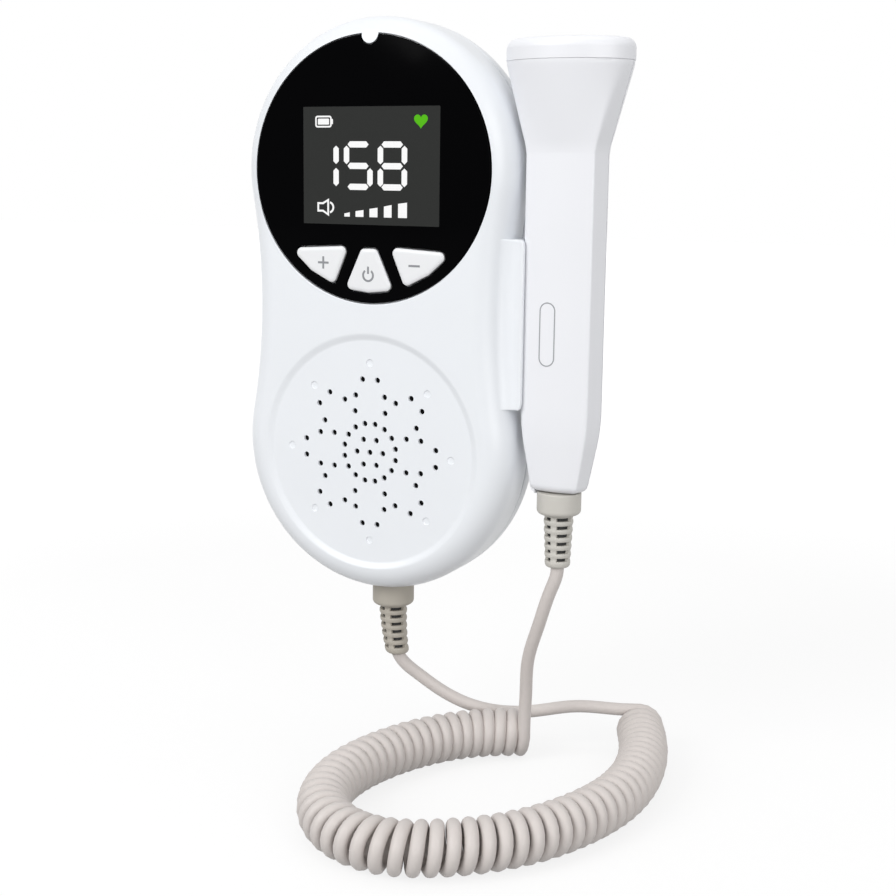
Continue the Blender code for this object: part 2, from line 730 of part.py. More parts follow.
def make_lens():
    disc = [(LENS_RADIUS, (0.0, FRONT_Y, 0.0), (0.0, FRONT_Y + LENS_THICKNESS, 0.0))]
    lens = add_part("display_lens", rods("display_lens", disc, LENS_SIDES), "black_window")
    combine(lens, add_cutter("lens_notch", notch_rod("lens_notch", NOTCH_RADIUS + FIT)), "DIFFERENCE")
    for kind in KEYS:
        name = "lens_hole_" + kind
        outline = key_outline(kind, FIT)
        hole = slab(name, outline, FRONT_Y - OVERRUN, FRONT_Y + LENS_THICKNESS + OVERRUN)
        combine(lens, add_cutter(name, hole), "DIFFERENCE")


def make_lcd():
    half_width = WINDOW_WIDTH / 2 + LCD_BORDER
    half_height = WINDOW_HEIGHT / 2 + LCD_BORDER
    front_y = FLOOR_Y + FIT
    corners = (
        (WINDOW_X - half_width, front_y, WINDOW_Z - half_height),
        (WINDOW_X + half_width, front_y + LCD_THICKNESS, WINDOW_Z + half_height),
    )
    add_part("lcd_module", boxes("lcd_module", [corners]), "lcd_glass")


def make_key(kind):
    """Key cap with the flange that holds it behind the cover, and the tact switch that it presses."""
    x, z = key_middle(kind)
    cap_mesh = slab("button_" + kind, key_outline(kind), FRONT_Y - KEY_PROUD, KEY_FLANGE_Y + KEY_FLANGE_THICKNESS / 2)
    cap = add_part("button_" + kind, cap_mesh, "key_plastic")
    flange_name = "flange_" + kind
    flange = slab(flange_name, key_outline(kind, KEY_FLANGE), KEY_FLANGE_Y, KEY_FLANGE_Y + KEY_FLANGE_THICKNESS)
    combine(cap, add_cutter(flange_name, flange), "UNION")

    stem = [(PLUNGER_RADIUS, (x, PLUNGER_TOP_Y, z), (x, SWITCH_TOP_Y + PLUNGER_SEAT, z))]
    add_part("plunger_" + kind, rods("plunger_" + kind, stem, SMALL_SIDES), "switch_black")

    half = SWITCH_SIZE / 2
    corners = (x - half, SWITCH_TOP_Y, z - half), (x + half, SWITCH_TOP_Y + SWITCH_HEIGHT, z + half)
    switch = add_part("switch_" + kind, boxes("switch_" + kind, [corners]), "steel")
    well_depth = PLUNGER_SEAT + KEY_TRAVEL + FIT
    ends = (x, SWITCH_TOP_Y - OVERRUN, z), (x, SWITCH_TOP_Y + well_depth, z)
    well = rods("well_" + kind, [(PLUNGER_RADIUS + FIT, *ends)], SMALL_SIDES)
    combine(switch, add_cutter("well_" + kind, well), "DIFFERENCE")


def make_board():
    disc = [(BOARD_RADIUS, (0.0, BOARD_FRONT_Y, 0.0), (0.0, BOARD_REAR_Y, 0.0))]
    board = add_part("main_board", rods("main_board", disc, ROUND_SIDES), "board_green")
    ends = BOARD_FRONT_Y - OVERRUN, BOARD_REAR_Y + OVERRUN
    holes = [(POST_RADIUS + FIT, *((x, y, z) for y in ends)) for x, z in screw_places()[:2]]
    combine(board, add_cutter("board_holes", rods("board_holes", holes, SMALL_SIDES)), "DIFFERENCE")


# Speaker


def make_speaker():
    place = (0.0, SPEAKER_FRONT_Y, DISH_CENTRE_Z)
    well_radius = SPEAKER_RADIUS - SPEAKER_RIM
    back_radius = MAGNET_RADIUS + SPEAKER_SHEET
    well_depth = SPEAKER_DEPTH - SPEAKER_SHEET
    frame = [
        (0.0, well_depth),
        (back_radius, well_depth),
        (well_radius, 0.0),
        (SPEAKER_RADIUS, 0.0),
        (SPEAKER_RADIUS, SPEAKER_SHEET),
        (well_radius + SPEAKER_SHEET, SPEAKER_SHEET),
        (back_radius + SPEAKER_SHEET, SPEAKER_DEPTH),
        (0.0, SPEAKER_DEPTH),
    ]
    add_part("speaker_frame", turned("speaker_frame", frame, place, ROUND_SIDES, upright=False), "steel")

    lift = CONE_THICKNESS + FIT
    cone_radius = well_radius - lift * (well_radius - back_radius) / well_depth
    hub_depth = well_depth - lift
    cone = [
        (0.0, hub_depth),
        (back_radius, hub_depth),
        (cone_radius, 0.0),
        (cone_radius, CONE_THICKNESS),
        (back_radius, hub_depth + CONE_THICKNESS),
        (0.0, hub_depth + CONE_THICKNESS),
    ]
    add_part("speaker_cone", turned("speaker_cone", cone, place, ROUND_SIDES, upright=False), "cone_paper")

    magnet_y = SPEAKER_FRONT_Y + SPEAKER_DEPTH + FIT
    ends = (0.0, magnet_y, DISH_CENTRE_Z), (0.0, magnet_y + MAGNET_THICKNESS, DISH_CENTRE_Z)
    add_part("speaker_magnet", rods("speaker_magnet", [(MAGNET_RADIUS, *ends)], ROUND_SIDES), "steel")


# Batteries


def door_corners():
    return rectangle(0.0, CELLS_CENTRE_Z, DOOR_HALF_WIDTH, DOOR_HALF_LENGTH)


def make_batteries():
    shell = rounded(door_corners(), TRAY_CORNER)
    tray = add_part("battery_tray", slab("battery_tray", shell, TRAY_FRONT_Y, TRAY_RIM_Y), "white_abs")
    inside = rounded(grown(door_corners(), -TRAY_WALL), TRAY_CORNER - TRAY_WALL)
    hollow = slab("tray_hollow", inside, TRAY_FRONT_Y + TRAY_WALL, TRAY_RIM_Y + OVERRUN)
    combine(tray, add_cutter("tray_hollow", hollow), "DIFFERENCE")

    cell = [
        (0.0, CELL_LENGTH / 2),
        (CELL_NUB_RADIUS, CELL_LENGTH / 2),
        (CELL_NUB_RADIUS, CELL_LENGTH / 2 - CELL_NUB_HEIGHT),
        (CELL_RADIUS - CELL_EDGE, CELL_LENGTH / 2 - CELL_NUB_HEIGHT),
        (CELL_RADIUS, CELL_LENGTH / 2 - CELL_NUB_HEIGHT - CELL_EDGE),
        (CELL_RADIUS, -CELL_LENGTH / 2 + CELL_EDGE),
        (CELL_RADIUS - CELL_EDGE, -CELL_LENGTH / 2),
        (0.0, -CELL_LENGTH / 2),
    ]
    for name, side in (("battery_left", -1), ("battery_right", 1)):
        profile = cell if side < 0 else [(radius, -height) for radius, height in reversed(cell)]
        place = (side * CELL_X, CELL_Y, CELLS_CENTRE_Z)
        add_part(name, turned(name, profile, place, CELL_SIDES), "cell_jacket")

    reach = CELL_X + CONTACT_WIDTH / 2
    for name, side in (("contact_top", 1), ("contact_bottom", -1)):
        outer = CELLS_CENTRE_Z + side * (TRAY_HALF_LENGTH - FIT)
        inner = outer - side * CONTACT_THICKNESS
        low, high = sorted((outer, inner))
        plate = boxes(name, [((-reach, CELL_Y - CONTACT_WIDTH / 2, low), (reach, CELL_Y + CONTACT_WIDTH / 2, high))])
        contact = add_part(name, plate, "steel")
        builder = bmesh.new()
        for cell_side in (-1, 1):
            ends = [(cell_side * CELL_X, CELL_Y, z) for z in ((outer + inner) / 2, inner - side * CONTACT_SPRING)]
            rod_into(builder, CONTACT_WIDTH / 3, *ends, SMALL_SIDES, end_radius=CELL_NUB_RADIUS / 2)
        combine(contact, add_cutter(name + "_bosses", mesh_from(builder, name + "_bosses")), "UNION")


def make_battery_door():
    plate = slab("battery_door", rounded(door_corners(), TRAY_CORNER), -DOOR_THICKNESS, 0.0)
    door = add_part("battery_door", plate, "white_abs")
    top = CELLS_CENTRE_Z + DOOR_HALF_LENGTH - GROOVE_INSET
    grooves = []
    for k in range(GROOVE_COUNT):
        z = top - k * GROOVE_PITCH
        grooves.append(((-GROOVE_HALF_WIDTH, -GROOVE_DEPTH, z - GROOVE_WIDTH), (GROOVE_HALF_WIDTH, OVERRUN, z)))
    combine(door, add_cutter("door_grooves", boxes("door_grooves", grooves)), "DIFFERENCE")


def make_case_screws():
    """Four screws, their heads deep in the rear posts and their shanks in the front ones."""
    head_y = SEAM_Y + FIT / 2 + SCREW_FLOOR + FIT
    profile = [
        (0.0, SCREW_HEAD_HEIGHT),
        (SCREW_HEAD_RADIUS, SCREW_HEAD_HEIGHT),
        (SCREW_HEAD_RADIUS, 0.0),
        (SCREW_SHANK_RADIUS, 0.0),
        (SCREW_SHANK_RADIUS, SEAM_Y - SCREW_BITE - head_y),
        (0.0, SEAM_Y - SCREW_BITE - head_y),
    ]
    for number, (x, z) in enumerate(screw_places(), 1):
        name = f"case_screw_{number}"
        add_part(name, turned(name, profile, (x, head_y, z), SMALL_SIDES, upright=False), "steel")


# Probe


def probe_ring(z, half_width, half_depth, ovalness):
    """A section of the probe: faceted and crowned like the handle at 0, a plain oval like the head at 1."""
    quarter = []
    for k, (across, deep) in enumerate(HANDLE_SECTION_SHARES):
        angle = math.pi / 2 * k / (len(HANDLE_SECTION_SHARES) - 1)
        x = across + ovalness * (math.cos(angle) - across)
        y = deep + ovalness * (math.sin(angle) - deep)
        quarter.append((half_width * x, half_depth * y))
    half = quarter + [(-x, y) for x, y in reversed(quarter[:-1])]
    loop = half + [(x, -y) for x, y in reversed(half[1:-1])]
    return [(PROBE_X + x, PROBE_Y + y, z) for x, y in loop]


def probe_rings(inset=0.0):
    """Sections of the handle, drawn in by the inset, from the seam under its cap down to the rounded foot."""
    rings = []
    for step, gone in enumerate(CONE_SHARES):
        z = CAP_SEAM_Z + (SHOULDER_Z - CAP_SEAM_Z) * step / (len(CONE_SHARES) - 1)
        width = HEAD_HALF_WIDTH + (HANDLE_HALF_WIDTH - HEAD_HALF_WIDTH) * gone - inset
        depth = HEAD_HALF_DEPTH + (HANDLE_HALF_DEPTH - HEAD_HALF_DEPTH) * gone - inset
        rings.append(probe_ring(z, width, depth, 1 - gone))
    rings.append(probe_ring(TAPER_Z, HANDLE_HALF_WIDTH - inset, HANDLE_HALF_DEPTH - inset, 0.0))
    rounding = FOOT_ROUND - inset / 2
    for step in range(FOOT_STEPS + 1):
        angle = math.pi / 2 * step / FOOT_STEPS
        inwards = inset + rounding * (1 - math.cos(angle))
        z = PROBE_FOOT_Z + inset + rounding * (1 - math.sin(angle))
        rings.append(probe_ring(z, FOOT_HALF_WIDTH - inwards, FOOT_HALF_DEPTH - inwards, 0.0))
    return rings


def make_probe_shells():
    inner_rings = probe_rings(PROBE_WALL)
    lid = [(x, y, z + OVERRUN) for x, y, z in inner_rings[0]]
    inside = add_cutter("probe_inside", skin("probe_inside", [lid, *inner_rings], close_first=True))
    channel_window = add_cutter("channel_window", boxes("channel_window", [channel_box(FIT)]))
    ends = [(PROBE_X, PROBE_Y, PROBE_FOOT_Z + rise) for rise in (-OVERRUN, PROBE_WALL + OVERRUN)]
    hole = add_cutter("probe_boot_hole", rods("probe_boot_hole", [(BOOT_NECK_RADIUS + FIT, *ends)], SMALL_SIDES))
    reach = HEAD_HALF_WIDTH + OVERRUN
    for name, side in (("probe_front_shell", -1), ("probe_rear_shell", 1)):
        shell = add_part(name, skin(name, probe_rings(), close_first=True), "white_abs")
        near, far = PROBE_Y + side * FIT / 2, PROBE_Y - side * reach
        low, high = sorted((near, far))
        half_space = (PROBE_X - reach, low, PROBE_FOOT_Z - reach), (PROBE_X + reach, high, CAP_SEAM_Z + reach)
        other_half = add_cutter(name + "_other_half", boxes(name + "_other_half", [half_space]))
        for cutter in (inside, other_half, channel_window, hole):
            combine(shell, cutter, "DIFFERENCE")


def make_probe_cap():
    """The face for the skin: a lid with a straight rim, a rounded edge and a flat top."""
    rings = [probe_ring(CAP_SEAM_Z + FIT, HEAD_HALF_WIDTH, HEAD_HALF_DEPTH, 1.0)]
    for step in range(ROUND_STEPS + 1):
        angle = math.pi / 2 * step / ROUND_STEPS
        inset = CAP_ROUND * (1 - math.cos(angle))
        z = PROBE_TOP_Z - CAP_ROUND * (1 - math.sin(angle))
        rings.append(probe_ring(z, HEAD_HALF_WIDTH - inset, HEAD_HALF_DEPTH - inset, 1.0))
    cap = add_part("probe_cap", skin("probe_cap", rings), "cap_abs")
    thicken(cap, PROBE_WALL)


def channel_box(growth):
    """Corners of the slot channel's block in the probe's left side."""
    half = CHANNEL_HALF_DEPTH + growth
    low = (PROBE_LEFT_X - OVERRUN - growth, PROBE_Y - half, PROBE_FOOT_Z - OVERRUN - growth)
    return low, (CHANNEL_BACK_X + growth, PROBE_Y + half, CHANNEL_TOP_Z + growth)


def make_slot_channel():
    """Insert with a T-shaped slot, closed at its top and without lips below its mouth, for the unit's rail."""
    channel = add_part("slot_channel", boxes("slot_channel", [channel_box(0.0)]), "white_abs")
    form = skin("probe_form", probe_rings(), close_first=True)
    combine(channel, add_cutter("probe_form", form), "INTERSECT")
    foot = PROBE_FOOT_Z - 2 * OVERRUN
    slot = t_outline(PROBE_LEFT_X - 2 * OVERRUN, LIPS_X, SLOT_BACK_X, RAIL_STEM_WIDTH / 2 + FIT, SLOT_HALF_DEPTH)
    combine(channel, add_cutter("t_slot", column("t_slot", slot, foot, RAIL_TOP_Z)), "DIFFERENCE")
    half = SLOT_HALF_DEPTH + FIT
    low = (PROBE_LEFT_X - 2 * OVERRUN, PROBE_Y - half, foot)
    high = (LIPS_X + FIT, PROBE_Y + half, SLOT_MOUTH_Z)
    combine(channel, add_cutter("slot_mouth", boxes("slot_mouth", [(low, high)])), "DIFFERENCE")


def t_outline(stem_x, head_x, end_x, stem_half, head_half):
    """A T on its side, (x, y), counter-clockwise: a stem from stem_x and a head from head_x to end_x."""
    half = [(stem_x, -stem_half), (head_x, -stem_half), (head_x, -head_half), (end_x, -head_half)]
    outline = half + [(x, -y) for x, y in reversed(half)]
    return [(x, PROBE_Y + y) for x, y in outline]


def make_probe_rail():
    """Pad on the unit's side, which reaches round the handle's front edge, with the T-shaped rail and two pegs."""
    foot, top = RAIL_TOP_Z - RAIL_LENGTH, RAIL_TOP_Z
    pad_x = PROBE_LEFT_X - FIT
    pad_middle = (RAIL_PEG_END_X + pad_x) / 2
    front_y = PROBE_Y - HANDLE_HALF_DEPTH - RAIL_HOOK_PROUD
    rear_y = PROBE_Y + RAIL_PAD_HALF_DEPTH
    hook_x = PROBE_LEFT_X + RAIL_HOOK_REACH
    corners = [(RAIL_PEG_END_X, front_y), (hook_x, front_y), (hook_x, rear_y), (RAIL_PEG_END_X, rear_y)]
    pad = rounded(corners, RAIL_PAD_ROUND)
    rail = add_part("probe_rail", column("probe_rail", pad, foot, top), "white_abs")
    ends = foot - OVERRUN, top + OVERRUN
    room = [probe_ring(z, HANDLE_HALF_WIDTH + FIT, HANDLE_HALF_DEPTH + FIT, 0.0) for z in ends]
    combine(rail, add_cutter("handle_room", skin("handle_room", room, close_first=True)), "DIFFERENCE")
    head_x = LIPS_X + FIT
    t = t_outline(pad_middle, head_x, head_x + RAIL_HEAD_THICKNESS, RAIL_STEM_WIDTH / 2, RAIL_HEAD_WIDTH / 2)
    combine(rail, add_cutter("rail_t", column("rail_t", t, foot, top - FIT)), "UNION")
    rings = [[(x, y, z) for x, z in housing_outline(inset)] for inset, y in housing_room_stations()]
    combine(rail, add_cutter("housing_room", skin("housing_room", rings, close_first=True)), "DIFFERENCE")
    pegs = [(RAIL_PEG_RADIUS, (RAIL_PEG_END_X, PROBE_Y, z), (pad_x - FIT, PROBE_Y, z)) for z in peg_heights()]
    combine(rail, add_cutter("rail_pegs", rods("rail_pegs", pegs, SMALL_SIDES)), "UNION")


def housing_room_stations():
    """The housing grown by the fit, from its rear face round its front edge."""
    rounding = FRONT_ROUND + FIT
    stations = [(-FIT, 0.0)]
    for step in range(ROUND_STEPS + 1):
        angle = math.pi / 2 * step / ROUND_STEPS
        stations.append((rounding * (1 - math.cos(angle)) - FIT, FRONT_Y - FIT + rounding * (1 - math.sin(angle))))
    return stations


def make_transducer():
    """Two half-moon crystals behind the cap's face and the block that damps them."""
    crystal_top = PROBE_TOP_Z - PROBE_WALL - FIT
    crystal_foot = crystal_top - CRYSTAL_THICKNESS
    for name, side in (("crystal_send", -1), ("crystal_receive", 1)):
        start = -side * math.pi / 2
        centre = PROBE_X + side * CRYSTAL_SPLIT / 2
        moon = arc(centre, PROBE_Y, CRYSTAL_RADIUS, start, start + math.pi, ROUND_SIDES // 2)
        moon.append((centre, PROBE_Y + side * CRYSTAL_RADIUS))
        add_part(name, column(name, moon, crystal_foot, crystal_top), "ceramic_disc")
    ends = [(PROBE_X, PROBE_Y, crystal_foot - drop) for drop in (FIT, FIT + BACKING_HEIGHT)]
    add_part("crystal_backing", rods("crystal_backing", [(CRYSTAL_RADIUS, *ends)], ROUND_SIDES), "backing_resin")


def make_probe_board():
    left = CHANNEL_BACK_X + 2 * FIT
    right = PROBE_X + HANDLE_HALF_WIDTH - PROBE_WALL - 2 * FIT
    half = PROBE_BOARD_THICKNESS / 2
    corners = (left, PROBE_Y - half, TAPER_Z), (right, PROBE_Y + half, TAPER_Z + PROBE_BOARD_LENGTH)
    add_part("probe_board", boxes("probe_board", [corners]), "board_green")


# Strain reliefs and cord


def make_boot(name, x, y, wall_z, wall):
    """Rubber strain relief: a flange inside the wall, a neck, a collar, and a tapered tail slotted in quadrants."""
    flange_foot = wall + 2 * FIT
    collar_foot = -FIT - BOOT_COLLAR_HEIGHT
    end = collar_foot - BOOT_LENGTH
    profile = [
        (0.0, flange_foot + BOOT_FLANGE_THICKNESS),
        (BOOT_FLANGE_RADIUS, flange_foot + BOOT_FLANGE_THICKNESS),
        (BOOT_FLANGE_RADIUS, flange_foot),
        (BOOT_NECK_RADIUS, flange_foot),
        (BOOT_NECK_RADIUS, -FIT),
        (BOOT_COLLAR_RADIUS, -FIT),
        (BOOT_COLLAR_RADIUS, collar_foot + BOOT_COLLAR_ROUND),
        (BOOT_COLLAR_RADIUS - BOOT_COLLAR_ROUND, collar_foot),
        (BOOT_TOP_RADIUS, collar_foot),
        (BOOT_END_RADIUS, end),
        (0.0, end),
    ]
    boot = add_part(name, turned(name, profile, (x, y, wall_z), BOOT_SIDES), "grey_cord")
    pitch = BOOT_LENGTH / (BOOT_SLOTS + BOOT_END_SHARE)
    slot = pitch * (1 - BOOT_RIB_SHARE)
    tops = [collar_foot - pitch * (k + BOOT_START_SHARE) for k in range(BOOT_SLOTS)]
    rings = [(BOOT_COLLAR_RADIUS, (x, y, wall_z + top), (x, y, wall_z + top - slot)) for top in tops]
    slots = add_cutter(name + "_slots", rods(name + "_slots", rings, BOOT_SIDES))
    core = [(BOOT_CORE_RADIUS, (x, y, wall_z), (x, y, wall_z + end - OVERRUN))]
    combine(slots, add_cutter(name + "_core", rods(name + "_core", core, BOOT_SIDES)), "DIFFERENCE")
    reach = BOOT_COLLAR_RADIUS + OVERRUN
    for number, (half_x, half_y) in enumerate(((reach, BOOT_WEB / 2), (BOOT_WEB / 2, reach))):
        corners = [((-half_x, -half_y, end - OVERRUN), (half_x, half_y, 0.0))]
        web = boxes(f"{name}_web_{number}", corners)
        web.transform(Matrix.Translation((x, y, wall_z)))
        combine(slots, add_cutter(web.name, web), "DIFFERENCE")
    combine(boot, slots, "DIFFERENCE")
    return Vector((x, y, wall_z + end))


def smooth_way(points, first_heading=None, last_heading=None):
    """Fine points on the cubic spline through a way's own points, by chord length, with headings at its ends."""
    points = np.array(points, dtype=float)
    steps = np.linalg.norm(np.diff(points, axis=0), axis=1)
    knots = np.concatenate([[0.0], np.cumsum(steps)])
    last = len(points) - 1
    system = np.eye(len(points))
    bends = np.zeros_like(points)
    for i in range(1, last):
        system[i, i - 1 : i + 2] = steps[i - 1], 2 * (steps[i - 1] + steps[i]), steps[i]
        bends[i] = 6 * ((points[i + 1] - points[i]) / steps[i] - (points[i] - points[i - 1]) / steps[i - 1])
    if first_heading is not None:
        system[0, :2] = 2 * steps[0], steps[0]
        bends[0] = 6 * ((points[1] - points[0]) / steps[0] - first_heading)
    if last_heading is not None:
        system[last, last - 1 :] = steps[-1], 2 * steps[-1]
        bends[last] = 6 * (last_heading - (points[last] - points[last - 1]) / steps[-1])
    bends = np.linalg.solve(system, bends)
    at = np.linspace(0.0, knots[-1], FINE_POINTS)
    span = np.clip(np.searchsorted(knots, at, side="right") - 1, 0, last - 1)
    step = steps[span][:, None]
    after = (at - knots[span])[:, None]
    before = step - after
    return (
        (bends[span] * before**3 + bends[span + 1] * after**3) / (6 * step)
        + (points[span] / step - bends[span] * step / 6) * before
        + (points[span + 1] / step - bends[span + 1] * step / 6) * after
    )


def evenly(fine, count):
    """Points spaced evenly along a fine way, with the heading there."""
    run = np.concatenate([[0.0], np.cumsum(np.linalg.norm(np.diff(fine, axis=0), axis=1))])
    at = np.linspace(0.0, run[-1], count)
    points = np.stack([np.interp(at, run, column_values) for column_values in fine.T], axis=1)
    headings = np.gradient(points, axis=0)
    return points, headings / np.linalg.norm(headings, axis=1)[:, None]


def curl_points(per_curl):
    """Centreline of the curls: it starts on the way's left side going down and ends at its top going left."""
    turns = CURL_TURNS + 0.75
    flat = smooth_way(COIL_ROUTE)
    fine = np.column_stack([flat, np.full(len(flat), COIL_AXIS_Z)])
    centres, headings = evenly(fine, round(turns * per_curl) + 1)
    phase = math.pi / 2 + 2 * math.pi * turns * np.linspace(0.0, 1.0, len(centres))[:, None]
    left = np.column_stack([-headings[:, 1], headings[:, 0], np.zeros(len(centres))])
    up = np.array([[0.0, 0.0, 1.0]])
    return centres + CURL_RADIUS * (up * np.cos(phase) + left * np.sin(phase)), left


def least_curl_gap():
    """Smallest free space between one curl and the next, measured on closely spaced points."""
    per_curl = 4 * POINTS_PER_CURL
    points, _ = curl_points(per_curl)
    gaps = []
    for shift in range(per_curl // 2, 3 * per_curl // 2):
        gaps.append(np.linalg.norm(points[shift:] - points[:-shift], axis=1).min())
    return min(gaps) - CORD_DIAMETER


def tube(name, points, resolution):
    curve = bpy.data.curves.new(name, "CURVE")
    curve.dimensions = "3D"
    curve.bevel_depth = CORD_DIAMETER / 2
    curve.bevel_resolution = resolution
    curve.use_fill_caps = True
    spline = curve.splines.new("POLY")
    spline.points.add(len(points) - 1)
    for point, place in zip(spline.points, points):
        point.co = (*place, 1.0)
    add_part(name, curve, "grey_cord")


def make_cord(body_exit, probe_exit):
    """One curly cord: a free stretch from each boot, and the curls between them on the floor."""
    curls, left = curl_points(POINTS_PER_CURL)
    start_lead = curls[0] + np.array([0.0, 0.0, CORD_DIAMETER])
    end_lead = curls[-1] + left[-1] * CORD_DIAMETER
    tube("cord_coil", [start_lead, *curls, end_lead], 1)
    print(f"least gap between curls: {least_curl_gap() * 1000:.2f} mm")

    up = np.array([0.0, 0.0, 1.0])
    ways = {
        "cord_tail_probe": (probe_exit, -up, PROBE_TAIL_ROUTE, start_lead, -up),
        "cord_tail_body": (end_lead, left[-1], BODY_TAIL_ROUTE, body_exit, up),
    }
    for name, (start, start_heading, route, end, end_heading) in ways.items():
        first = np.array(start) + start_heading * FIT
        last = np.array(end) - end_heading * FIT
        way = [first + start_heading * CORD_DIAMETER, *route, last - end_heading * CORD_DIAMETER]
        fine = smooth_way(way, start_heading, end_heading)
        length = np.linalg.norm(np.diff(fine, axis=0), axis=1).sum()
        points, _ = evenly(fine, round(length / TAIL_STEP) + 1)
        tube(name, [first, *points, last], 2)
        print(f"{name}: {(length + 2 * CORD_DIAMETER) * 1000:.0f} mm")


def set_origins():
    """Moving pieces turn or slide about their own origins, which lie on their joints' axes."""
    places = {"battery_door": (0.0, 0.0, DOOR_FOOT_Z)}
    for kind in KEYS:
        x, z = key_middle(kind)
        places["button_" + kind] = places["plunger_" + kind] = (x, FRONT_Y, z)
    for name in PROBE_PIECES:
        places[name] = (PROBE_X, PROBE_Y, RAIL_TOP_Z)
    for name, place in places.items():
        part = PARTS.objects[name]
        part.data.transform(Matrix.Translation(-Vector(place)))
        part.location = place


make_front_cover()
make_rear_cover()
make_lens()
make_lcd()
for key in KEYS:
    make_key(key)
make_board()
make_speaker()
make_batteries()
make_battery_door()
make_case_screws()
make_probe_shells()
make_probe_cap()
make_slot_channel()
make_probe_rail()
make_transducer()
make_probe_board()
body_boot_end = make_boot("boot_body", 0.0, SEAM_Y, BODY_BOTTOM_Z, WALL)
probe_boot_end = make_boot("boot_probe", PROBE_X, PROBE_Y, PROBE_FOOT_Z, PROBE_WALL)
make_cord(body_boot_end, probe_boot_end)
set_origins()
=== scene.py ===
import math

import bmesh
import bpy
import numpy as np
from mathutils import Matrix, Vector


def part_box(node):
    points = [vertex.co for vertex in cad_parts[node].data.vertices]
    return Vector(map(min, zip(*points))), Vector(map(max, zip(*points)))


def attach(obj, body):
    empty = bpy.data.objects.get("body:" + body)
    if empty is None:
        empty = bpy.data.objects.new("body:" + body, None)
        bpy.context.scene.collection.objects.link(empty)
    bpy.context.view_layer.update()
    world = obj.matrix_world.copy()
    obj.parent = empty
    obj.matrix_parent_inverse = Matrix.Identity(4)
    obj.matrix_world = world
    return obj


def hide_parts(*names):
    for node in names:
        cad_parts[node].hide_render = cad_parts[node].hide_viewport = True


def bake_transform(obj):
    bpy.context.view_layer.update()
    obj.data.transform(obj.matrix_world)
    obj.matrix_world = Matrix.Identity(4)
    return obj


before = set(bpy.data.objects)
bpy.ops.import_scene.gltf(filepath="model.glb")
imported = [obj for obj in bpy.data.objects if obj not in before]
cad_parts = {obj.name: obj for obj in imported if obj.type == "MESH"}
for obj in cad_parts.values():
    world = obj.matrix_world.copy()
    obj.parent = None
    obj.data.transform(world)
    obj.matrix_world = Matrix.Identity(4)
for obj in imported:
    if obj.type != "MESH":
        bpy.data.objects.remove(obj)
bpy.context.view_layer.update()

bl_info = {
    "name": "Pocket fetal doppler",
    "version": (1, 0, 0),
    "blender": (4, 5, 0),
    "location": "View3D > Sidebar > Doppler",
    "description": "Dresses the packed doppler: covers, window, keys, probe, strain reliefs and curly cord",
    "category": "Object",
}


# Sizes and colours


def linear(code):
    """An sRGB hex colour as linear red, green and blue."""
    value = np.array([int(code[i : i + 2], 16) for i in (1, 3, 5)]) / 255
    return tuple(np.where(value <= 0.04045, value / 12.92, ((value + 0.055) / 1.055) ** 2.4))


def length(name, millimetres, description):
    """A size, written in millimetres and kept in metres."""
    return bpy.props.FloatProperty(
        name=name, description=description, default=millimetres / 1000, unit="LENGTH", precision=5
    )


def colour(name, code, description):
    """A colour, written as a hex code and kept linear."""
    return bpy.props.FloatVectorProperty(
        name=name, description=description, default=linear(code), size=3, min=0, max=1, subtype="COLOR"
    )


class HousingSizes(bpy.types.PropertyGroup):
    """The unit's moulded housing"""

    depth: length("Depth", 26.6, "From the front face to the flat rear face")
    upper_radius: length("Upper radius", 35.1, "Radius of the lobe with the window")
    lower_radius: length("Lower radius", 35.7, "Radius of the lobe with the speaker")
    spacing: length("Lobe spacing", 65.2, "Height between the two lobes' centres")
    waist_radius: length("Waist radius", 146.5, "Radius of the hollow sides between the lobes")
    front_round: length("Front rounding", 6.2, "Radius of the front edge")
    rear_round: length("Rear rounding", 11.9, "Radius of the rear edge")
    wall: length("Wall", 2.2, "Thickness of the moulding")
    fit: length("Fit", 0.3, "Gap between neighbouring pieces")
    lip: length("Lip", 0.22, "Small rounding of the parting edges")


class WindowSizes(bpy.types.PropertyGroup):
    """The round black window and the display behind it"""

    radius: length("Radius", 30.7, "Radius of the round window")
    thickness: length("Thickness", 1.2, "Thickness of the window")
    edge: length("Edge", 0.25, "Rounding of the window's rim")
    notch: length("Notch", 2.1, "Radius of the cover's tab at the window's top")
    pane_width: length("Display width", 35.8, "Width of the lit display")
    pane_height: length("Display height", 27.0, "Height of the lit display")
    pane_x: length("Display place across", 0.3, "Middle of the display from the window's centre")
    pane_z: length("Display place up", 1.0, "Middle of the display from the window's centre")
    film: length("Film", 0.03, "How far the display and its signs each stand proud")


class KeySizes(bpy.types.PropertyGroup):
    """The three keys under the display"""

    outer_radius: length("Outer radius", 28.3, "Circle on which the keys' feet lie")
    top_z: length("Top", -18.0, "Height of the keys' upper edges")
    corner: length("Corner", 1.3, "Corner radius of a key")
    proud: length("Proud", 0.4, "How far a key stands in front of the cover")
    flange: length("Flange", 0.8, "Width and thickness of the rim behind the cover")
    power_top: length("Power key top", 2.0, "Half width of the middle key's top")
    power_foot: length("Power key foot", 6.4, "Half width of the middle key's foot")
    side_rise: length("Side key rise", 0.5, "How much higher the side keys' tops are")
    side_inner: length("Side key inner", 5.5, "Inner corner of a side key")
    side_middle: length("Side key middle", 15.6, "Middle foot corner of a side key")
    side_outer: length("Side key outer", 21.5, "Outer corner of a side key")
    side_foot: length("Side key foot", 9.4, "Lowest corner of a side key")
    pillow: length("Pillow width", 1.0, "Width of a key's rounded shoulder")
    pillow_height: length("Pillow height", 0.5, "Height of a key's rounded shoulder")
    stroke: length("Stroke", 0.48, "Line width of the printed signs")
    sign_arm: length("Sign arm", 1.45, "Half length of the plus and minus signs")
    ring: length("Ring", 1.55, "Radius of the power sign's ring")


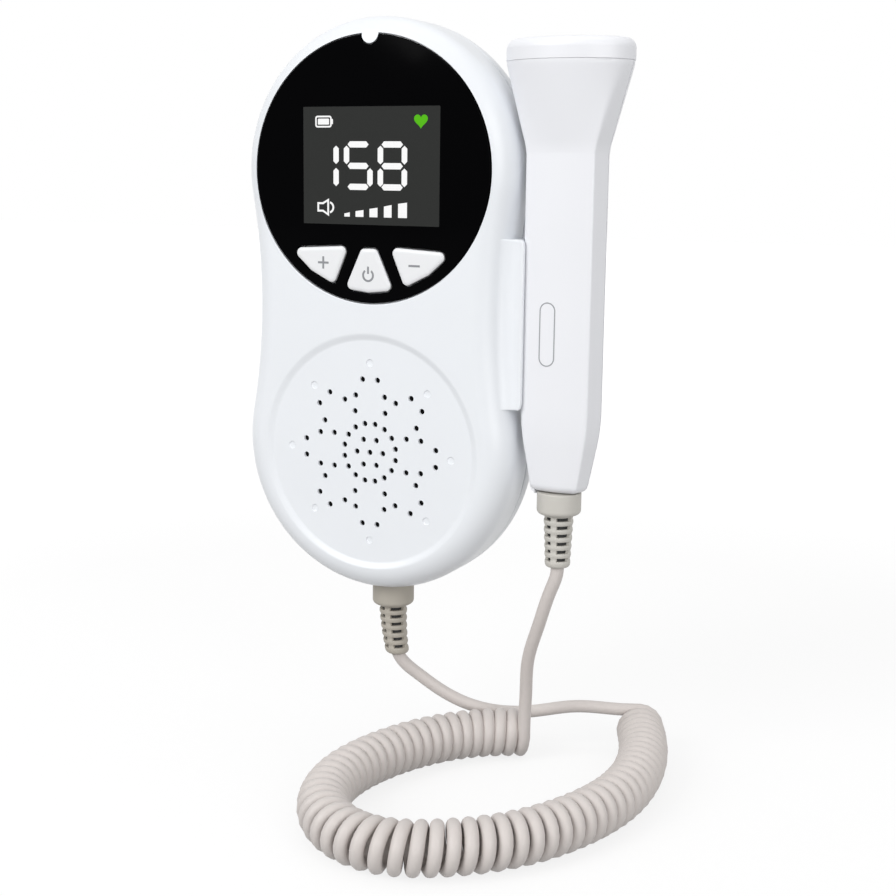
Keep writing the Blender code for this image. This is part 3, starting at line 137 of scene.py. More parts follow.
class SpeakerSizes(bpy.types.PropertyGroup):
    """The shallow dish and its star of holes"""

    dish_radius: length("Dish radius", 27.8, "Outer radius of the dish")
    dish_depth: length("Dish depth", 0.6, "Depth of the dish")
    dish_rim: length("Dish rim", 2.0, "Width of the dish's soft step")
    drop: length("Drop", 1.4, "How far the dish's centre lies under the lobe's")
    hole: length("Hole", 0.68, "Radius of a speaker hole")
    dimple: length("Dimple", 0.95, "Radius of a blind dimple")
    dimple_depth: length("Dimple depth", 0.28, "Depth of a blind dimple")
    flare: length("Flare", 0.08, "Rounding of a hole's mouth")
    grille: length("Grille", 0.7, "Thickness of the cover between the holes")
    pocket: length("Pocket", 23.5, "Radius of the thinned wall behind the dish")
    cloth: length("Cloth", 0.3, "Thickness of the cloth behind the holes")
    rings: bpy.props.FloatVectorProperty(
        name="Rings",
        description="Radii of the six rings of holes and dimples",
        default=(0.0035, 0.00705, 0.0106, 0.0142, 0.0177, 0.0216),
        size=6,
        unit="LENGTH",
    )
    spreads: bpy.props.FloatVectorProperty(
        name="Spreads",
        description="Half angle between the two holes of a star point, on the fourth and fifth ring, in degrees",
        default=(15.95, 6.57),
        size=2,
    )


class BatterySizes(bpy.types.PropertyGroup):
    """The battery door and the case screws"""

    door_half_width: length("Door half width", 16.05, "Half the door's width")
    door_half_height: length("Door half height", 28.75, "Half the door's height")
    door_z: length("Door middle", -57.7, "Height of the door's middle")
    door_thickness: length("Door thickness", 1.6, "Thickness of the door")
    door_corner: length("Door corner", 3.0, "Corner radius of the door")
    door_edge: length("Door edge", 0.35, "Rounding of the door's rim")
    groove_half: length("Groove half width", 7.0, "Half the length of a finger groove")
    groove_width: length("Groove width", 0.8, "Width of a finger groove")
    groove_depth: length("Groove depth", 0.4, "Depth of a finger groove")
    groove_pitch: length("Groove pitch", 1.8, "Height from groove to groove")
    groove_inset: length("Groove inset", 6.0, "From the door's top to the first groove")
    screw_inset: length("Screw inset", 7.0, "From a lobe's edge to its screws")
    screw_head: length("Screw head", 1.9, "Radius of a screw's head")
    screw_shank: length("Screw shank", 1.0, "Radius of a screw's shank")
    screw_height: length("Screw head height", 1.2, "Height of a screw's head")
    screw_floor: length("Screw floor", 2.5, "Thickness under a screw's head")
    screw_bite: length("Screw bite", 5.0, "Length of a screw in the front post")
    post: length("Post", 3.2, "Radius of a screw post")
    nub_radius: length("Nub radius", 2.75, "Radius of a cell's contact nub")
    nub_height: length("Nub height", 1.0, "Height of a cell's contact nub")
    cell_edge: length("Cell edge", 0.6, "Rounding of a cell's ends")


class ProbeSizes(bpy.types.PropertyGroup):
    """The probe and the rail that carries it"""

    x: length("Place across", 45.3, "The probe's axis from the unit's middle")
    y: length("Place in depth", -16.6, "The probe's axis from the unit's rear face")
    top_z: length("Top", 29.2, "Height of the face that lies on the skin")
    seam_z: length("Cap seam", 24.3, "Height of the seam under the cap")
    shoulder_z: length("Shoulder", 4.0, "Height at which the head has become the handle")
    taper_z: length("Taper", -57.5, "Height at which the handle begins to taper")
    foot_z: length("Foot", -72.9, "Height of the handle's foot")
    head_half_width: length("Head half width", 14.9, "Half width of the oval head")
    head_half_depth: length("Head half depth", 9.8, "Half depth of the oval head")
    half_width: length("Handle half width", 9.7, "Half width of the handle")
    half_depth: length("Handle half depth", 5.8, "Half depth of the handle")
    foot_half_width: length("Foot half width", 7.0, "Half width of the handle's foot")
    foot_half_depth: length("Foot half depth", 4.9, "Half depth of the handle's foot")
    cap_round: length("Cap rounding", 2.3, "Radius of the cap's edge")
    seam_lip: length("Seam lip", 0.09, "Rounding of the edges at the cap's seam")
    foot_round: length("Foot rounding", 2.0, "Radius of the handle's foot edge")
    wall: length("Wall", 1.5, "Thickness of the probe's shells")
    rail_top_z: length("Rail top", -15.0, "Height of the rail's top")
    rail_length: length("Rail length", 39.0, "Length of the rail")
    tongue: length("Tongue", 0.9, "Height and inset of the step that fills the seam under the cap")
    pad_half_depth: length("Pad half depth", 4.6, "From the probe's axis to the pad's rear side")
    pad_round: length("Pad rounding", 0.5, "Radius of the pad's edges")
    pad_fillet: length("Pad fillet", 4.0, "Radius of the hollow where the pad leaves the housing")
    hook_reach: length("Hook reach", 2.0, "How far the pad's lip reaches round the handle's front")
    hook_proud: length("Hook proud", 0.4, "How far that lip stands in front of the handle")
    hook_slope: bpy.props.FloatProperty(
        name="Hook slope",
        description="Turn of the pad's front towards the left",
        default=math.radians(14),
        unit="ROTATION",
    )
    mark_x: length("Mark place across", 43.5, "Middle of the printed outline on the handle's front")
    mark_z: length("Mark place up", -36.1, "Height of the printed outline's middle")
    mark_half_width: length("Mark half width", 1.95, "Half width of the printed outline")
    mark_half_height: length("Mark half height", 7.3, "Half height of the printed outline")
    mark_stroke: length("Mark stroke", 0.27, "Line width of the printed outline")
    lip: length("Lip thickness", 2.1, "Thickness of the slot's lips")
    stem: length("Rail stem", 2.2, "Width of the rail's stem")
    head: length("Rail head", 4.4, "Width of the rail's head")
    head_thickness: length("Rail head thickness", 1.2, "Thickness of the rail's head")
    channel_wall: length("Channel wall", 0.9, "Wall of the slotted insert")
    channel_top: length("Channel top", 2.0, "Wall above the slot")


class CordSizes(bpy.types.PropertyGroup):
    """The curly cord and its two strain reliefs"""

    diameter: length("Diameter", 3.15, "Diameter of the cord")
    curl_radius: length("Curl radius", 4.48, "Radius of a curl at the cord's middle")
    axis_z: length("Coil height", -139.0, "Height of the coil's axis")
    turns: bpy.props.IntProperty(name="Curls", description="Whole curls on the floor", default=61, min=40, max=72)
    crowding: bpy.props.FloatProperty(
        name="Crowding", description="Share by which curls crowd at the rear and thin out at the front", default=0.05
    )
    collar_radius: length("Collar radius", 5.2, "Radius of a strain relief's collar")
    collar_height: length("Collar height", 5.3, "Height of the collar at the probe")
    unit_collar_height: length("Unit collar height", 6.0, "Height of the collar at the unit")
    collar_round: length("Collar rounding", 1.1, "Radius of the collar's lower edge")
    neck_radius: length("Neck radius", 2.2, "Radius where a strain relief passes its wall")
    tail_length: length("Tail length", 12.8, "Length of the slotted tail")
    tail_top_radius: length("Tail top radius", 3.4, "Radius of the tail under its collar")
    tail_end_radius: length("Tail end radius", 2.8, "Radius of the tail's end")
    # The slots reach down to a black sleeve, which is painted shade that darkens them
    slot_depth: length("Slot depth", 0.65, "Depth of a strain relief's slots, down to its dark sleeve")
    rib_swell: length("Rib swell", 0.18, "How far the ribs swell out between the slots")
    web: length("Web", 1.4, "Width of the webs between the slots")
    lean: length("Lean", 1.3, "How far the cord pulls the unit's strain relief aside")


class FinishColours(bpy.types.PropertyGroup):
    """Colours, as the finished surfaces show them"""

    housing: colour("Housing", "#EFF2F6", "Moulded white of the unit")
    probe: colour("Probe", "#F1F2F6", "Moulded white of the probe")
    keys: colour("Keys", "#EEEFF1", "Satin white of the keys")
    window: colour("Window", "#020203", "Black acrylic")
    pane: colour("Display", "#333433", "Display ground")
    digits: colour("Digits", "#FFFFFF", "Lit digits and signs")
    heart: colour("Heart", "#5ABE1E", "Lit heart")
    ink: colour("Ink", "#8B8D91", "Printed signs on the keys")
    cord: colour("Cord", "#D4CDC9", "Polyurethane jacket")
    relief: colour("Strain relief", "#CDCAC3", "Strain relief at the probe")
    relief_unit: colour("Unit strain relief", "#B4AEA3", "Strain relief at the unit")
    mark: colour("Mark", "#9A9CA0", "Printed outline on the handle")


class StageSizes(bpy.types.PropertyGroup):
    """Camera, floor and light"""

    eye: bpy.props.FloatVectorProperty(
        name="Eye", description="Place of the camera", default=(0.16776, -0.33403, -0.00085), unit="LENGTH"
    )
    yaw: bpy.props.FloatProperty(
        name="Yaw", description="Camera's turn to the left", default=math.radians(25.5), unit="ROTATION"
    )
    pitch: bpy.props.FloatProperty(
        name="Pitch", description="Camera's tilt down", default=math.radians(10.42), unit="ROTATION"
    )
    roll: bpy.props.FloatProperty(
        name="Roll", description="Camera's roll", default=math.radians(0.7), unit="ROTATION"
    )
    lens: bpy.props.FloatProperty(name="Lens", description="Focal length in millimetres", default=59.62)
    floor_z: length("Floor", -145.3, "Height of the floor")


GROUPS = {
    "housing": HousingSizes,
    "window": WindowSizes,
    "keys": KeySizes,
    "speaker": SpeakerSizes,
    "battery": BatterySizes,
    "probe": ProbeSizes,
    "cord": CordSizes,
    "colours": FinishColours,
    "stage": StageSizes,
}


class DopplerSettings(bpy.types.PropertyGroup):
    """All the doppler's sizes and colours"""

    __annotations__ = {name: bpy.props.PointerProperty(type=group) for name, group in GROUPS.items()}


# How far the head has gone over into the handle, at even steps from the cap's seam down to the shoulder
CONE_SHARES = (0.0, 0.1, 0.205, 0.31, 0.415, 0.52, 0.625, 0.73, 0.835, 0.94, 1.0)

# A quarter of the handle's section, as shares of its half width and half depth
SECTION_SHARES = (
    (1.0, 0.0),
    (0.952, 0.245),
    (0.903, 0.495),
    (0.862, 0.705),
    (0.815, 0.835),
    (0.68, 0.885),
    (0.46, 0.945),
    (0.23, 0.985),
    (0.0, 1.0),
)

# Way of the coil's axis on the floor, (x, y) in metres, from the probe's end to the unit's end
COIL_ROUTE = (
    (0.0322, -0.0043),
    (0.0222, -0.0106),
    (0.0136, -0.0210),
    (0.0077, -0.0350),
    (0.0058, -0.0505),
    (0.0098, -0.0650),
    (0.0188, -0.0746),
    (0.0308, -0.0776),
    (0.0437, -0.0722),
    (0.0550, -0.0616),
    (0.0630, -0.0471),
    (0.0670, -0.0306),
    (0.0663, -0.0141),
    (0.0626, 0.0004),
    (0.0575, 0.0129),
)

# Ways of the two free stretches, (x, y, z) in metres, from the probe to the coil and from the coil to the unit
PROBE_TAIL_ROUTE = (
    (0.0438, -0.0164, -0.0971),
    (0.0402, -0.0148, -0.1069),
    (0.0364, -0.0118, -0.1174),
    (0.0350, -0.0092, -0.1270),
)
UNIT_TAIL_ROUTE = (
    (0.0423, 0.0070, -0.1342),
    (0.0315, 0.0024, -0.1359),
    (0.0189, -0.0040, -0.1345),
    (0.0110, -0.0078, -0.1303),
    (0.0058, -0.0104, -0.1260),
)

# Digits of the display: left edge of each in millimetres, and its lit segments
DIGITS = ((-15.7, "bc"), (-6.68, "acdfg"), (2.27, "abcdefg"))

# Volume bars of the display: left and right edge, and the tops of both edges, in millimetres
VOLUME_BARS = (
    (-6.55, -5.1, -10.0, -9.7),
    (-3.55, -1.45, -9.4, -9.1),
    (0.15, 2.25, -8.8, -8.5),
    (3.95, 5.95, -8.2, -7.8),
    (7.65, 9.95, -7.5, -7.2),
)

# Outline of the loudspeaker sign and of its hollow, in millimetres
HORN = ((-13.85, -7.5), (-13.85, -9.7), (-12.4, -9.7), (-10.7, -10.7), (-10.7, -6.6), (-12.4, -7.5))
HORN_INSIDE = ((-13.4, -7.95), (-13.4, -9.25), (-12.25, -9.25), (-11.15, -9.95), (-11.15, -7.3), (-12.25, -7.95))

# Other signs of the display, in millimetres: the volume bars' foot; the battery's charge and nub, each with its
# middle, half sizes and corner; the battery's frame alike and its line width; the loudspeaker's sound wave, with its
# middle, outer and inner radius, start and end angle; the heart's middle, and its shares of the heart curve
VOLUME_FOOT = -10.7
BATTERY_BLOCKS = ((-12.15, 11.1, 1.5, 0.68, 0.2), (-9.8, 11.1, 0.2, 0.6, 0.15))
BATTERY_FRAME = (-12.15, 11.1, 2.2, 1.35, 0.6)
BATTERY_STROKE = 0.38
SOUND_WAVE = ((-10.7, -8.65), 1.4, 0.95, -1.35, 1.35)
HEART_MIDDLE = (13.35, 11.25)
HEART_SHARES = (1.74 / 16, 1.6 / 14.5)

# Heights of a lit segment's middle, and the lower and upper end of the upright ones, in millimetres
LEVEL_SEGMENTS = {"a": 5.9, "g": 1.0, "d": -3.8}
UPPER_SEGMENT, LOWER_SEGMENT = (1.4, 5.6), (-3.7, 0.5)

# Signs printed on the keys, in metres, with the start and end angle of the power sign's ring
SIDE_SIGN_X, SIDE_SIGN_Z = 0.0121, -0.0216
POWER_RING_Z = -0.0242
POWER_RING_TURN = (math.radians(128), math.radians(412))
POWER_BAR_Z, POWER_BAR_HALF_HEIGHT = -0.0230, 0.00085

# Small lengths, in metres: the display's corner; a strain relief's rounding at its collar's top and at its tail's
# end, and the width of its flange inside the wall; how far a cutter runs past a face; and how far the pad's fillet is
# sunk in the housing
PANE_CORNER = 0.0002
COLLAR_TOP_ROUND = 0.0003
TAIL_END_ROUND = 0.0009
FLANGE_WIDTH = 0.0009
OVERRUN = 0.001
PAD_SUNK = 0.000015

# A strain relief's rows of slots, the pitches in its tail, and a slot's start and height as shares of the pitch
SLOT_ROWS, TAIL_PITCHES, SLOT_START, SLOT_HEIGHT = 6, 6.56, 0.22, 0.46

# Half the height over which the probe's handle bends into its taper, in metres
TAPER_BEND = 0.004

# Heights in metres of the cells' feet and tops, between which their sleeves are printed
PRINT_ENDS = (-0.0830, -0.0324)

# Lamps: name, place and aim in metres, side of the square in metres, power in watts
LAMPS = (
    ("key light", (-0.6, -1.2, 0.7), (0.0, 0.0, -0.03), 0.9, 10.9),
    ("fill light", (1.0, -0.9, 0.35), (0.03, 0.0, -0.05), 0.9, 6.6),
    ("top light", (0.0, 0.1, 1.3), (0.02, -0.02, -0.05), 1.0, 1.7),
)

# How brightly the white surroundings light the object, where the camera and mirrors see them at 1, and the glow
# with which the floor lights it
SURROUNDINGS = 0.52
FLOOR_GLOW = 0.14

KINDS = ("plus", "power", "minus")
UP = np.array([0.0, 0.0, 1.0])


# Shapes: outlines are rows of (x, z) or (x, y), grids are rows of outlines


def unit(vectors):
    """Vectors divided by their lengths."""
    return vectors / np.linalg.norm(vectors, axis=-1, keepdims=True)


def arc(centre, radius, start, end, count):
    """Points round a centre at evenly spaced angles from start to end, without the last."""
    turn = np.linspace(start, end, count, endpoint=False)
    return np.asarray(centre) + radius * np.column_stack([np.cos(turn), np.sin(turn)])


def quarter_round(width, height, steps):
    """A quarter of an ellipse, as (inset, rise) pairs that start upright at the side and end level on the face."""
    turn = np.linspace(0.0, math.pi / 2, steps + 1)
    return np.column_stack([width * (1 - np.cos(turn)), height * np.sin(turn)])


def rounded(corners, growth, radius, steps=8):
    """A convex outline whose sides move out by the growth and whose corners become arcs of the radius."""
    here = np.asarray(corners, float)
    back = unit(np.roll(here, 1, axis=0) - here)
    on = unit(np.roll(here, -1, axis=0) - here)
    half = np.arccos(np.clip((back * on).sum(axis=1), -1, 1)) / 2
    inwards = unit(back + on)
    reach = (1 / np.sin(half))[:, None]
    grown = here - inwards * growth * reach
    centre = grown + inwards * radius * reach
    touch = grown + back * (radius / np.tan(half))[:, None] - centre
    start = np.arctan2(touch[:, 1], touch[:, 0])
    turn = start[:, None] + (math.pi - 2 * half)[:, None] * np.linspace(0.0, 1.0, steps + 1)
    return (centre[:, None] + radius * np.stack([np.cos(turn), np.sin(turn)], axis=-1)).reshape(-1, 2)


def rectangle(x, z, half_width, half_height):
    """Corners of a rectangle round its middle, counter-clockwise."""
    sides = np.array([(-1, -1), (1, -1), (1, 1), (-1, 1)])
    return np.array([x, z]) + sides * (half_width, half_height)


def facing(outlines, depths):
    """Outlines of (x, z) put at their depths."""
    outlines = np.asarray(outlines)
    depths = np.broadcast_to(np.asarray(depths, float)[:, None], outlines.shape[:2])
    return np.stack([outlines[..., 0], depths, outlines[..., 1]], axis=-1)


def upright(outlines, heights):
    """Outlines of (x, y) put at their heights."""
    outlines = np.asarray(outlines)
    heights = np.broadcast_to(np.asarray(heights, float)[:, None], outlines.shape[:2])
    return np.stack([outlines[..., 0], outlines[..., 1], heights], axis=-1)


def plate(outline, front, rear):
    """An outline of (x, z) drawn out from its front to its rear depth."""
    return facing([outline, outline], [front, rear])


def turned(profile, place, sides, axis="y"):
    """A profile of (radius, distance) rows turned about an axis through a place: ring points at
    radius times (cos, sin) of even angles, and the distance along the axis."""
    profile = np.asarray(profile, float)
    turn = 2 * math.pi * np.arange(sides) / sides
    across = profile[:, :1] * np.cos(turn)
    other = profile[:, :1] * np.sin(turn)
    along = np.broadcast_to(profile[:, 1:], across.shape)
    order = (across, along, other) if axis == "y" else (across, other, along)
    return np.stack(order, axis=-1) + np.asarray(place)


def spline(points, count, first=None, last=None):
    """Even points on the cubic spline through a way's points: its second derivatives solve one linear system
    over the chord lengths, and a heading given for an end replaces the free end there."""
    points = np.asarray(points, float)
    steps = np.linalg.norm(np.diff(points, axis=0), axis=1)
    knots = np.concatenate([[0.0], np.cumsum(steps)])
    slopes = np.diff(points, axis=0) / steps[:, None]
    system = np.eye(len(points))
    inner = np.arange(1, len(points) - 1)
    system[inner, inner - 1] = steps[:-1]
    system[inner, inner] = 2 * (steps[:-1] + steps[1:])
    system[inner, inner + 1] = steps[1:]
    bends = np.zeros_like(points)
    bends[1:-1] = 6 * np.diff(slopes, axis=0)
    if first is not None:
        system[0, :2] = 2 * steps[0], steps[0]
        bends[0] = 6 * (slopes[0] - first)
    if last is not None:
        system[-1, -2:] = steps[-1], 2 * steps[-1]
        bends[-1] = 6 * (last - slopes[-1])
    bends = np.linalg.solve(system, bends)
    at = np.linspace(0.0, knots[-1], 1500)
    span = np.clip(np.searchsorted(knots, at, side="right") - 1, 0, len(steps) - 1)
    step = steps[span][:, None]
    after = (at - knots[span])[:, None]
    before = step - after
    fine = (
        (bends[span] * before**3 + bends[span + 1] * after**3) / (6 * step)
        + (points[span] / step - bends[span] * step / 6) * before
        + (points[span + 1] / step - bends[span + 1] * step / 6) * after
    )
    return evenly(fine, count)


def evenly(fine, count):
    """Points at even distances along a finely drawn way, read between its own by straight pieces."""
    run = np.concatenate([[0.0], np.cumsum(np.linalg.norm(np.diff(fine, axis=0), axis=1))])
    at = np.linspace(0.0, run[-1], count)
    return np.column_stack([np.interp(at, run, column) for column in fine.T])


# Meshes and objects


def volume(grid):
    """Six times the volume inside a capped grid: the triple products of its quads' halves, and of fans at its ends."""
    grid = grid - grid.mean(axis=(0, 1))
    after = np.roll(grid, -1, axis=1)
    a, b, c, d = grid[:-1], after[:-1], after[1:], grid[1:]
    sides = np.cross(a, b) * c + np.cross(a, c) * d
    first, last = (np.cross(grid[k], after[k]) * grid[k].mean(axis=0) for k in (0, -1))
    return sides.sum() + (last - first).sum()


def solid(name, *grids):
    """One mesh of closed solids. Each grid's neighbouring rows are joined by quads, its first and last row are
    filled, and its faces are turned outwards."""
    points, faces = [], []
    first = 0
    for grid in grids:
        rows, columns = grid.shape[:2]
        index = first + np.arange(rows * columns).reshape(rows, columns)
        after = np.roll(index, -1, axis=1)
        quads = np.stack([index[:-1], after[:-1], after[1:], index[1:]], axis=-1).reshape(-1, 4).tolist()
        made = quads + [index[0][::-1].tolist(), index[-1].tolist()]
        if volume(grid) < 0:
            made = [face[::-1] for face in made]
        points.append(grid.reshape(-1, 3))
        faces += made
        first += rows * columns
    mesh = bpy.data.meshes.new(name)
    mesh.from_pydata(np.concatenate(points), [], faces)
    return mesh


def hoops(name, *grids):
    """One mesh of closed bands, each a grid whose four rows run round the band's section and back to the first."""
    points, faces, first = [], [], 0
    for grid in grids:
        rows, columns = grid.shape[:2]
        index = np.arange(rows * columns).reshape(rows, columns)
        index = np.vstack([index, index[:1]])
        after = np.roll(index, -1, axis=1)
        quads = np.stack([index[:-1], after[:-1], after[1:], index[1:]], axis=-1).reshape(-1, 4)
        body = grid.reshape(-1, 3)
        a, b, c, d = (body[quads[:, k]] - body.mean(axis=0) for k in range(4))
        if (np.cross(a, b) * c + np.cross(a, c) * d).sum() < 0:
            quads = quads[:, ::-1]
        points.append(body)
        faces += (quads + first).tolist()
        first += rows * columns
    mesh = bpy.data.meshes.new(name)
    mesh.from_pydata(np.concatenate(points), [], faces)
    return mesh


def joined(name, *meshes):
    """Several meshes as one."""
    builder = bmesh.new()
    for mesh in meshes:
        builder.from_mesh(mesh)
        bpy.data.meshes.remove(mesh)
    whole = bpy.data.meshes.new(name)
    builder.to_mesh(whole)
    builder.free()
    return whole


def place(name, mesh):
    """A mesh as an object in the scene."""
    made = bpy.data.objects.new(name, mesh)
    bpy.context.scene.collection.objects.link(made)
    return made


def shape(name, *grids):
    """An object made of closed solids."""
    return place(name, solid(name, *grids))


def carve(part, operation, *meshes):
    """Cut or join solids exactly, one after another, and keep the result as a plain mesh."""
    cutters = [place(f"{part.name}_{operation.lower()}_{k}", mesh) for k, mesh in enumerate(meshes)]
    for cutter in cutters:
        boolean = part.modifiers.new(cutter.name, "BOOLEAN")
        boolean.operation = operation
        boolean.solver = "EXACT"
        boolean.object = cutter
    done = bpy.data.meshes.new_from_object(part.evaluated_get(bpy.context.evaluated_depsgraph_get()))
    part.modifiers.clear()
    part.data = done
    for cutter in cutters:
        bpy.data.objects.remove(cutter, do_unlink=True)
    return part


def dress(part, body, material, replaced=(), crease=32):
    """Shade a piece, give it its finish and let it ride on its body."""
    part.data.name = part.name
    part.data.materials.clear()
    part.data.materials.append(material)
    part.data.shade_smooth()
    part.data.set_sharp_from_angle(angle=math.radians(crease))
    even = part.modifiers.new("even shading", "WEIGHTED_NORMAL")
    even.keep_sharp = True
    if body:
        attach(part, body)
    if replaced:
        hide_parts(*replaced)
    return part


# Materials


def feed(tree, node, feeds):
    """Feed a node's inputs with values or with other nodes' outputs."""
    for socket, value in feeds.items():
        if isinstance(value, bpy.types.NodeSocket):
            tree.links.new(value, node.inputs[socket])
        else:
            node.inputs[socket].default_value = value


def add(tree, kind, feeds=None, **settings):
    """Add a node, set it and feed its inputs."""
    made = tree.nodes.new("ShaderNode" + kind)
    for name, value in settings.items():
        setattr(made, name, value)
    feed(tree, made, feeds or {})
    return made


def begin(name):
    """A material with its shader, and the coordinates of the piece in metres."""
    material = bpy.data.materials.new(name)
    material.use_nodes = True
    tree = material.node_tree
    return material, tree, tree.nodes["Principled BSDF"], add(tree, "TexCoord").outputs["Object"]


def shared(name, make, *look):
    """A material that several pieces share, made on its first use."""
    return bpy.data.materials.get(name) or make(name, *look)


def housing_white():
    """The unit's white: the housing, its door, rail and battery tray."""
    return shared("moulded white ABS", moulded, bpy.context.scene.doppler.colours.housing, 0.3)


def probe_white():
    """The probe's white: its shells and slotted insert."""
    return shared("moulded white ABS, probe", moulded, bpy.context.scene.doppler.colours.probe, 0.32)


def plated_steel():
    """The steel of screws, contacts, switches and loudspeaker."""
    return shared("zinc-plated steel", bright_steel)


def rgba(rgb, share=1.0):
    """A colour with its channels times a share, for a node's input."""
    return (*(channel * share for channel in rgb), 1.0)


def moulded(name, rgb, roughness, grain_mm=0.35, relief_mm=0.004, cloud_mm=22.0, tint=0.965):
    """Injection-moulded plastic: an even colour with the faintest clouding, and the fine spark-eroded grain of
    the tool, which softens its highlights. The grain is drawn coarser than the real 0.05 mm, so that it shows."""
    material, tree, shader, where = begin(name)
    cloud = add(tree, "TexNoise", {"Vector": where, "Scale": 1000 / cloud_mm, "Detail": 3.0})
    shade = add(
        tree,
        "Mix",
        {"Factor": cloud.outputs["Fac"], "A": rgba(rgb), "B": rgba(rgb, tint)},
        data_type="RGBA",
    )
    grain = add(tree, "TexNoise", {"Vector": where, "Scale": 1000 / grain_mm, "Detail": 2.0, "Roughness": 0.6})
    sheen = add(
        tree,
        "MapRange",
        {"Value": grain.outputs["Fac"], "To Min": roughness - 0.05, "To Max": roughness + 0.07},
    )
    bump = add(tree, "Bump", {"Height": grain.outputs["Fac"], "Strength": 0.6, "Distance": relief_mm / 1000})
    look = {
        "Base Color": shade.outputs["Result"],
        "Roughness": sheen.outputs["Result"],
        "Normal": bump.outputs["Normal"],
        "IOR": 1.53,
    }
    feed(tree, shader, look)
    return material


def polished_acrylic(name, rgb):
    """Cast acrylic printed black behind: deep black, mirror smooth, with a hardly seen wave in its gloss."""
    material, tree, shader, where = begin(name)
    wave = add(tree, "TexNoise", {"Vector": where, "Scale": 1000 / 9.0, "Detail": 2.0})
    gloss = add(tree, "MapRange", {"Value": wave.outputs["Fac"], "To Min": 0.04, "To Max": 0.09})
    speck = add(tree, "TexNoise", {"Vector": where, "Scale": 1000 / 0.5, "Detail": 1.0})
    shade = add(
        tree,
        "Mix",
        {"Factor": speck.outputs["Fac"], "A": rgba(rgb, 0.8), "B": rgba(rgb, 1.2)},
        data_type="RGBA",
    )
    look = {
        "Base Color": shade.outputs["Result"],
        "Roughness": gloss.outputs["Result"],
        "IOR": 1.49,
        "Specular IOR Level": 0.02,
    }
    feed(tree, shader, look)
    return material


def lit_display(name, rgb, glow, pixel_mm=0.3):
    """Liquid crystal behind the window: an even colour broken by the finest grid of its dots. Where it is lit, it
    glows in its own colour and gives back no light."""
    material, tree, shader, where = begin(name)
    dots = add(tree, "TexVoronoi", {"Vector": where, "Scale": 1000 / pixel_mm}, feature="F1")
    shade = add(
        tree,
        "Mix",
        {"Factor": dots.outputs["Distance"], "A": rgba(rgb), "B": rgba(rgb, 0.93)},
        data_type="RGBA",
    )
    if glow:
        shader.inputs["Base Color"].default_value = rgba(rgb, 0.0)
        tree.links.new(shade.outputs["Result"], shader.inputs["Emission Color"])
        shader.inputs["Emission Strength"].default_value = glow
    else:
        tree.links.new(shade.outputs["Result"], shader.inputs["Base Color"])
    look = {
        "Roughness": 0.35,
        "Specular IOR Level": 0.02,
    }
    feed(tree, shader, look)
    return material


def woven_cloth(name, thread_mm=0.4):
    """Woven polyester: black and matt, with a square weave drawn coarser than the real 0.1 mm so that it shows."""
    material, tree, shader, where = begin(name)
    weave = {"Vector": where, "Color1": rgba(linear("#050505")), "Color2": rgba(linear("#0B0B0C"))}
    threads = add(tree, "TexChecker", {**weave, "Scale": 1000 / thread_mm})
    look = {
        "Base Color": threads.outputs["Color"],
        "Roughness": 0.9,
        "Specular IOR Level": 0.1,
    }
    feed(tree, shader, look)
    return material


def jacket(name, rgb, along):
    """Extruded polyurethane: satin, with faint drag lines along the cord's UV map and a hint of sheen at its edges."""
    material, tree, shader, _ = begin(name)
    where = add(tree, "UVMap", uv_map=along).outputs["UV"]
    stretched = add(tree, "Mapping", {"Vector": where, "Scale": (1.0, 0.2, 1.0)})
    drag = add(tree, "TexNoise", {"Vector": stretched.outputs["Vector"], "Scale": 60.0, "Detail": 3.0})
    cloud = add(tree, "TexNoise", {"Vector": where, "Scale": 8.0, "Detail": 2.0})
    shade = add(
        tree, "Mix", {"Factor": cloud.outputs["Fac"], "A": rgba(rgb, 1.02), "B": rgba(rgb, 0.95)}, data_type="RGBA"
    )
    bump = add(tree, "Bump", {"Height": drag.outputs["Fac"], "Strength": 0.35, "Distance": 0.00002})
    satin = add(tree, "MapRange", {"Value": drag.outputs["Fac"], "To Min": 0.4, "To Max": 0.54})
    look = {
        "Base Color": shade.outputs["Result"],
        "Roughness": satin.outputs["Result"],
        "Normal": bump.outputs["Normal"],
        "IOR": 1.5,
        "Sheen Weight": 0.08,
    }
    feed(tree, shader, look)
    return material


# The housing


def waist_centre(housing):
    """Centre of the right waist's arc, which lies a lobe's and the waist's radius from both lobes' centres."""
    upper = housing.upper_radius + housing.waist_radius
    lower = housing.lower_radius + housing.waist_radius
    z = (lower**2 - upper**2 - housing.spacing**2) / (2 * housing.spacing)
    return math.sqrt(upper**2 - z**2), z


def housing_outline(housing, inset):
    """The housing's outline drawn in by the inset: two lobes, joined by hollow waists that touch them."""
    x, z = waist_centre(housing)
    high, low = math.atan2(z, x), math.atan2(z + housing.spacing, x)
    waist = housing.waist_radius + inset
    return np.concatenate(
        [
            arc((x, z), waist, math.pi + low, math.pi + high, 16),
            arc((0, 0), housing.upper_radius - inset, high, math.pi - high, 96),
            arc((-x, z), waist, -high, -low, 16),
            arc((0, -housing.spacing), housing.lower_radius - inset, math.pi - low, 2 * math.pi + low, 96),
        ]
    )


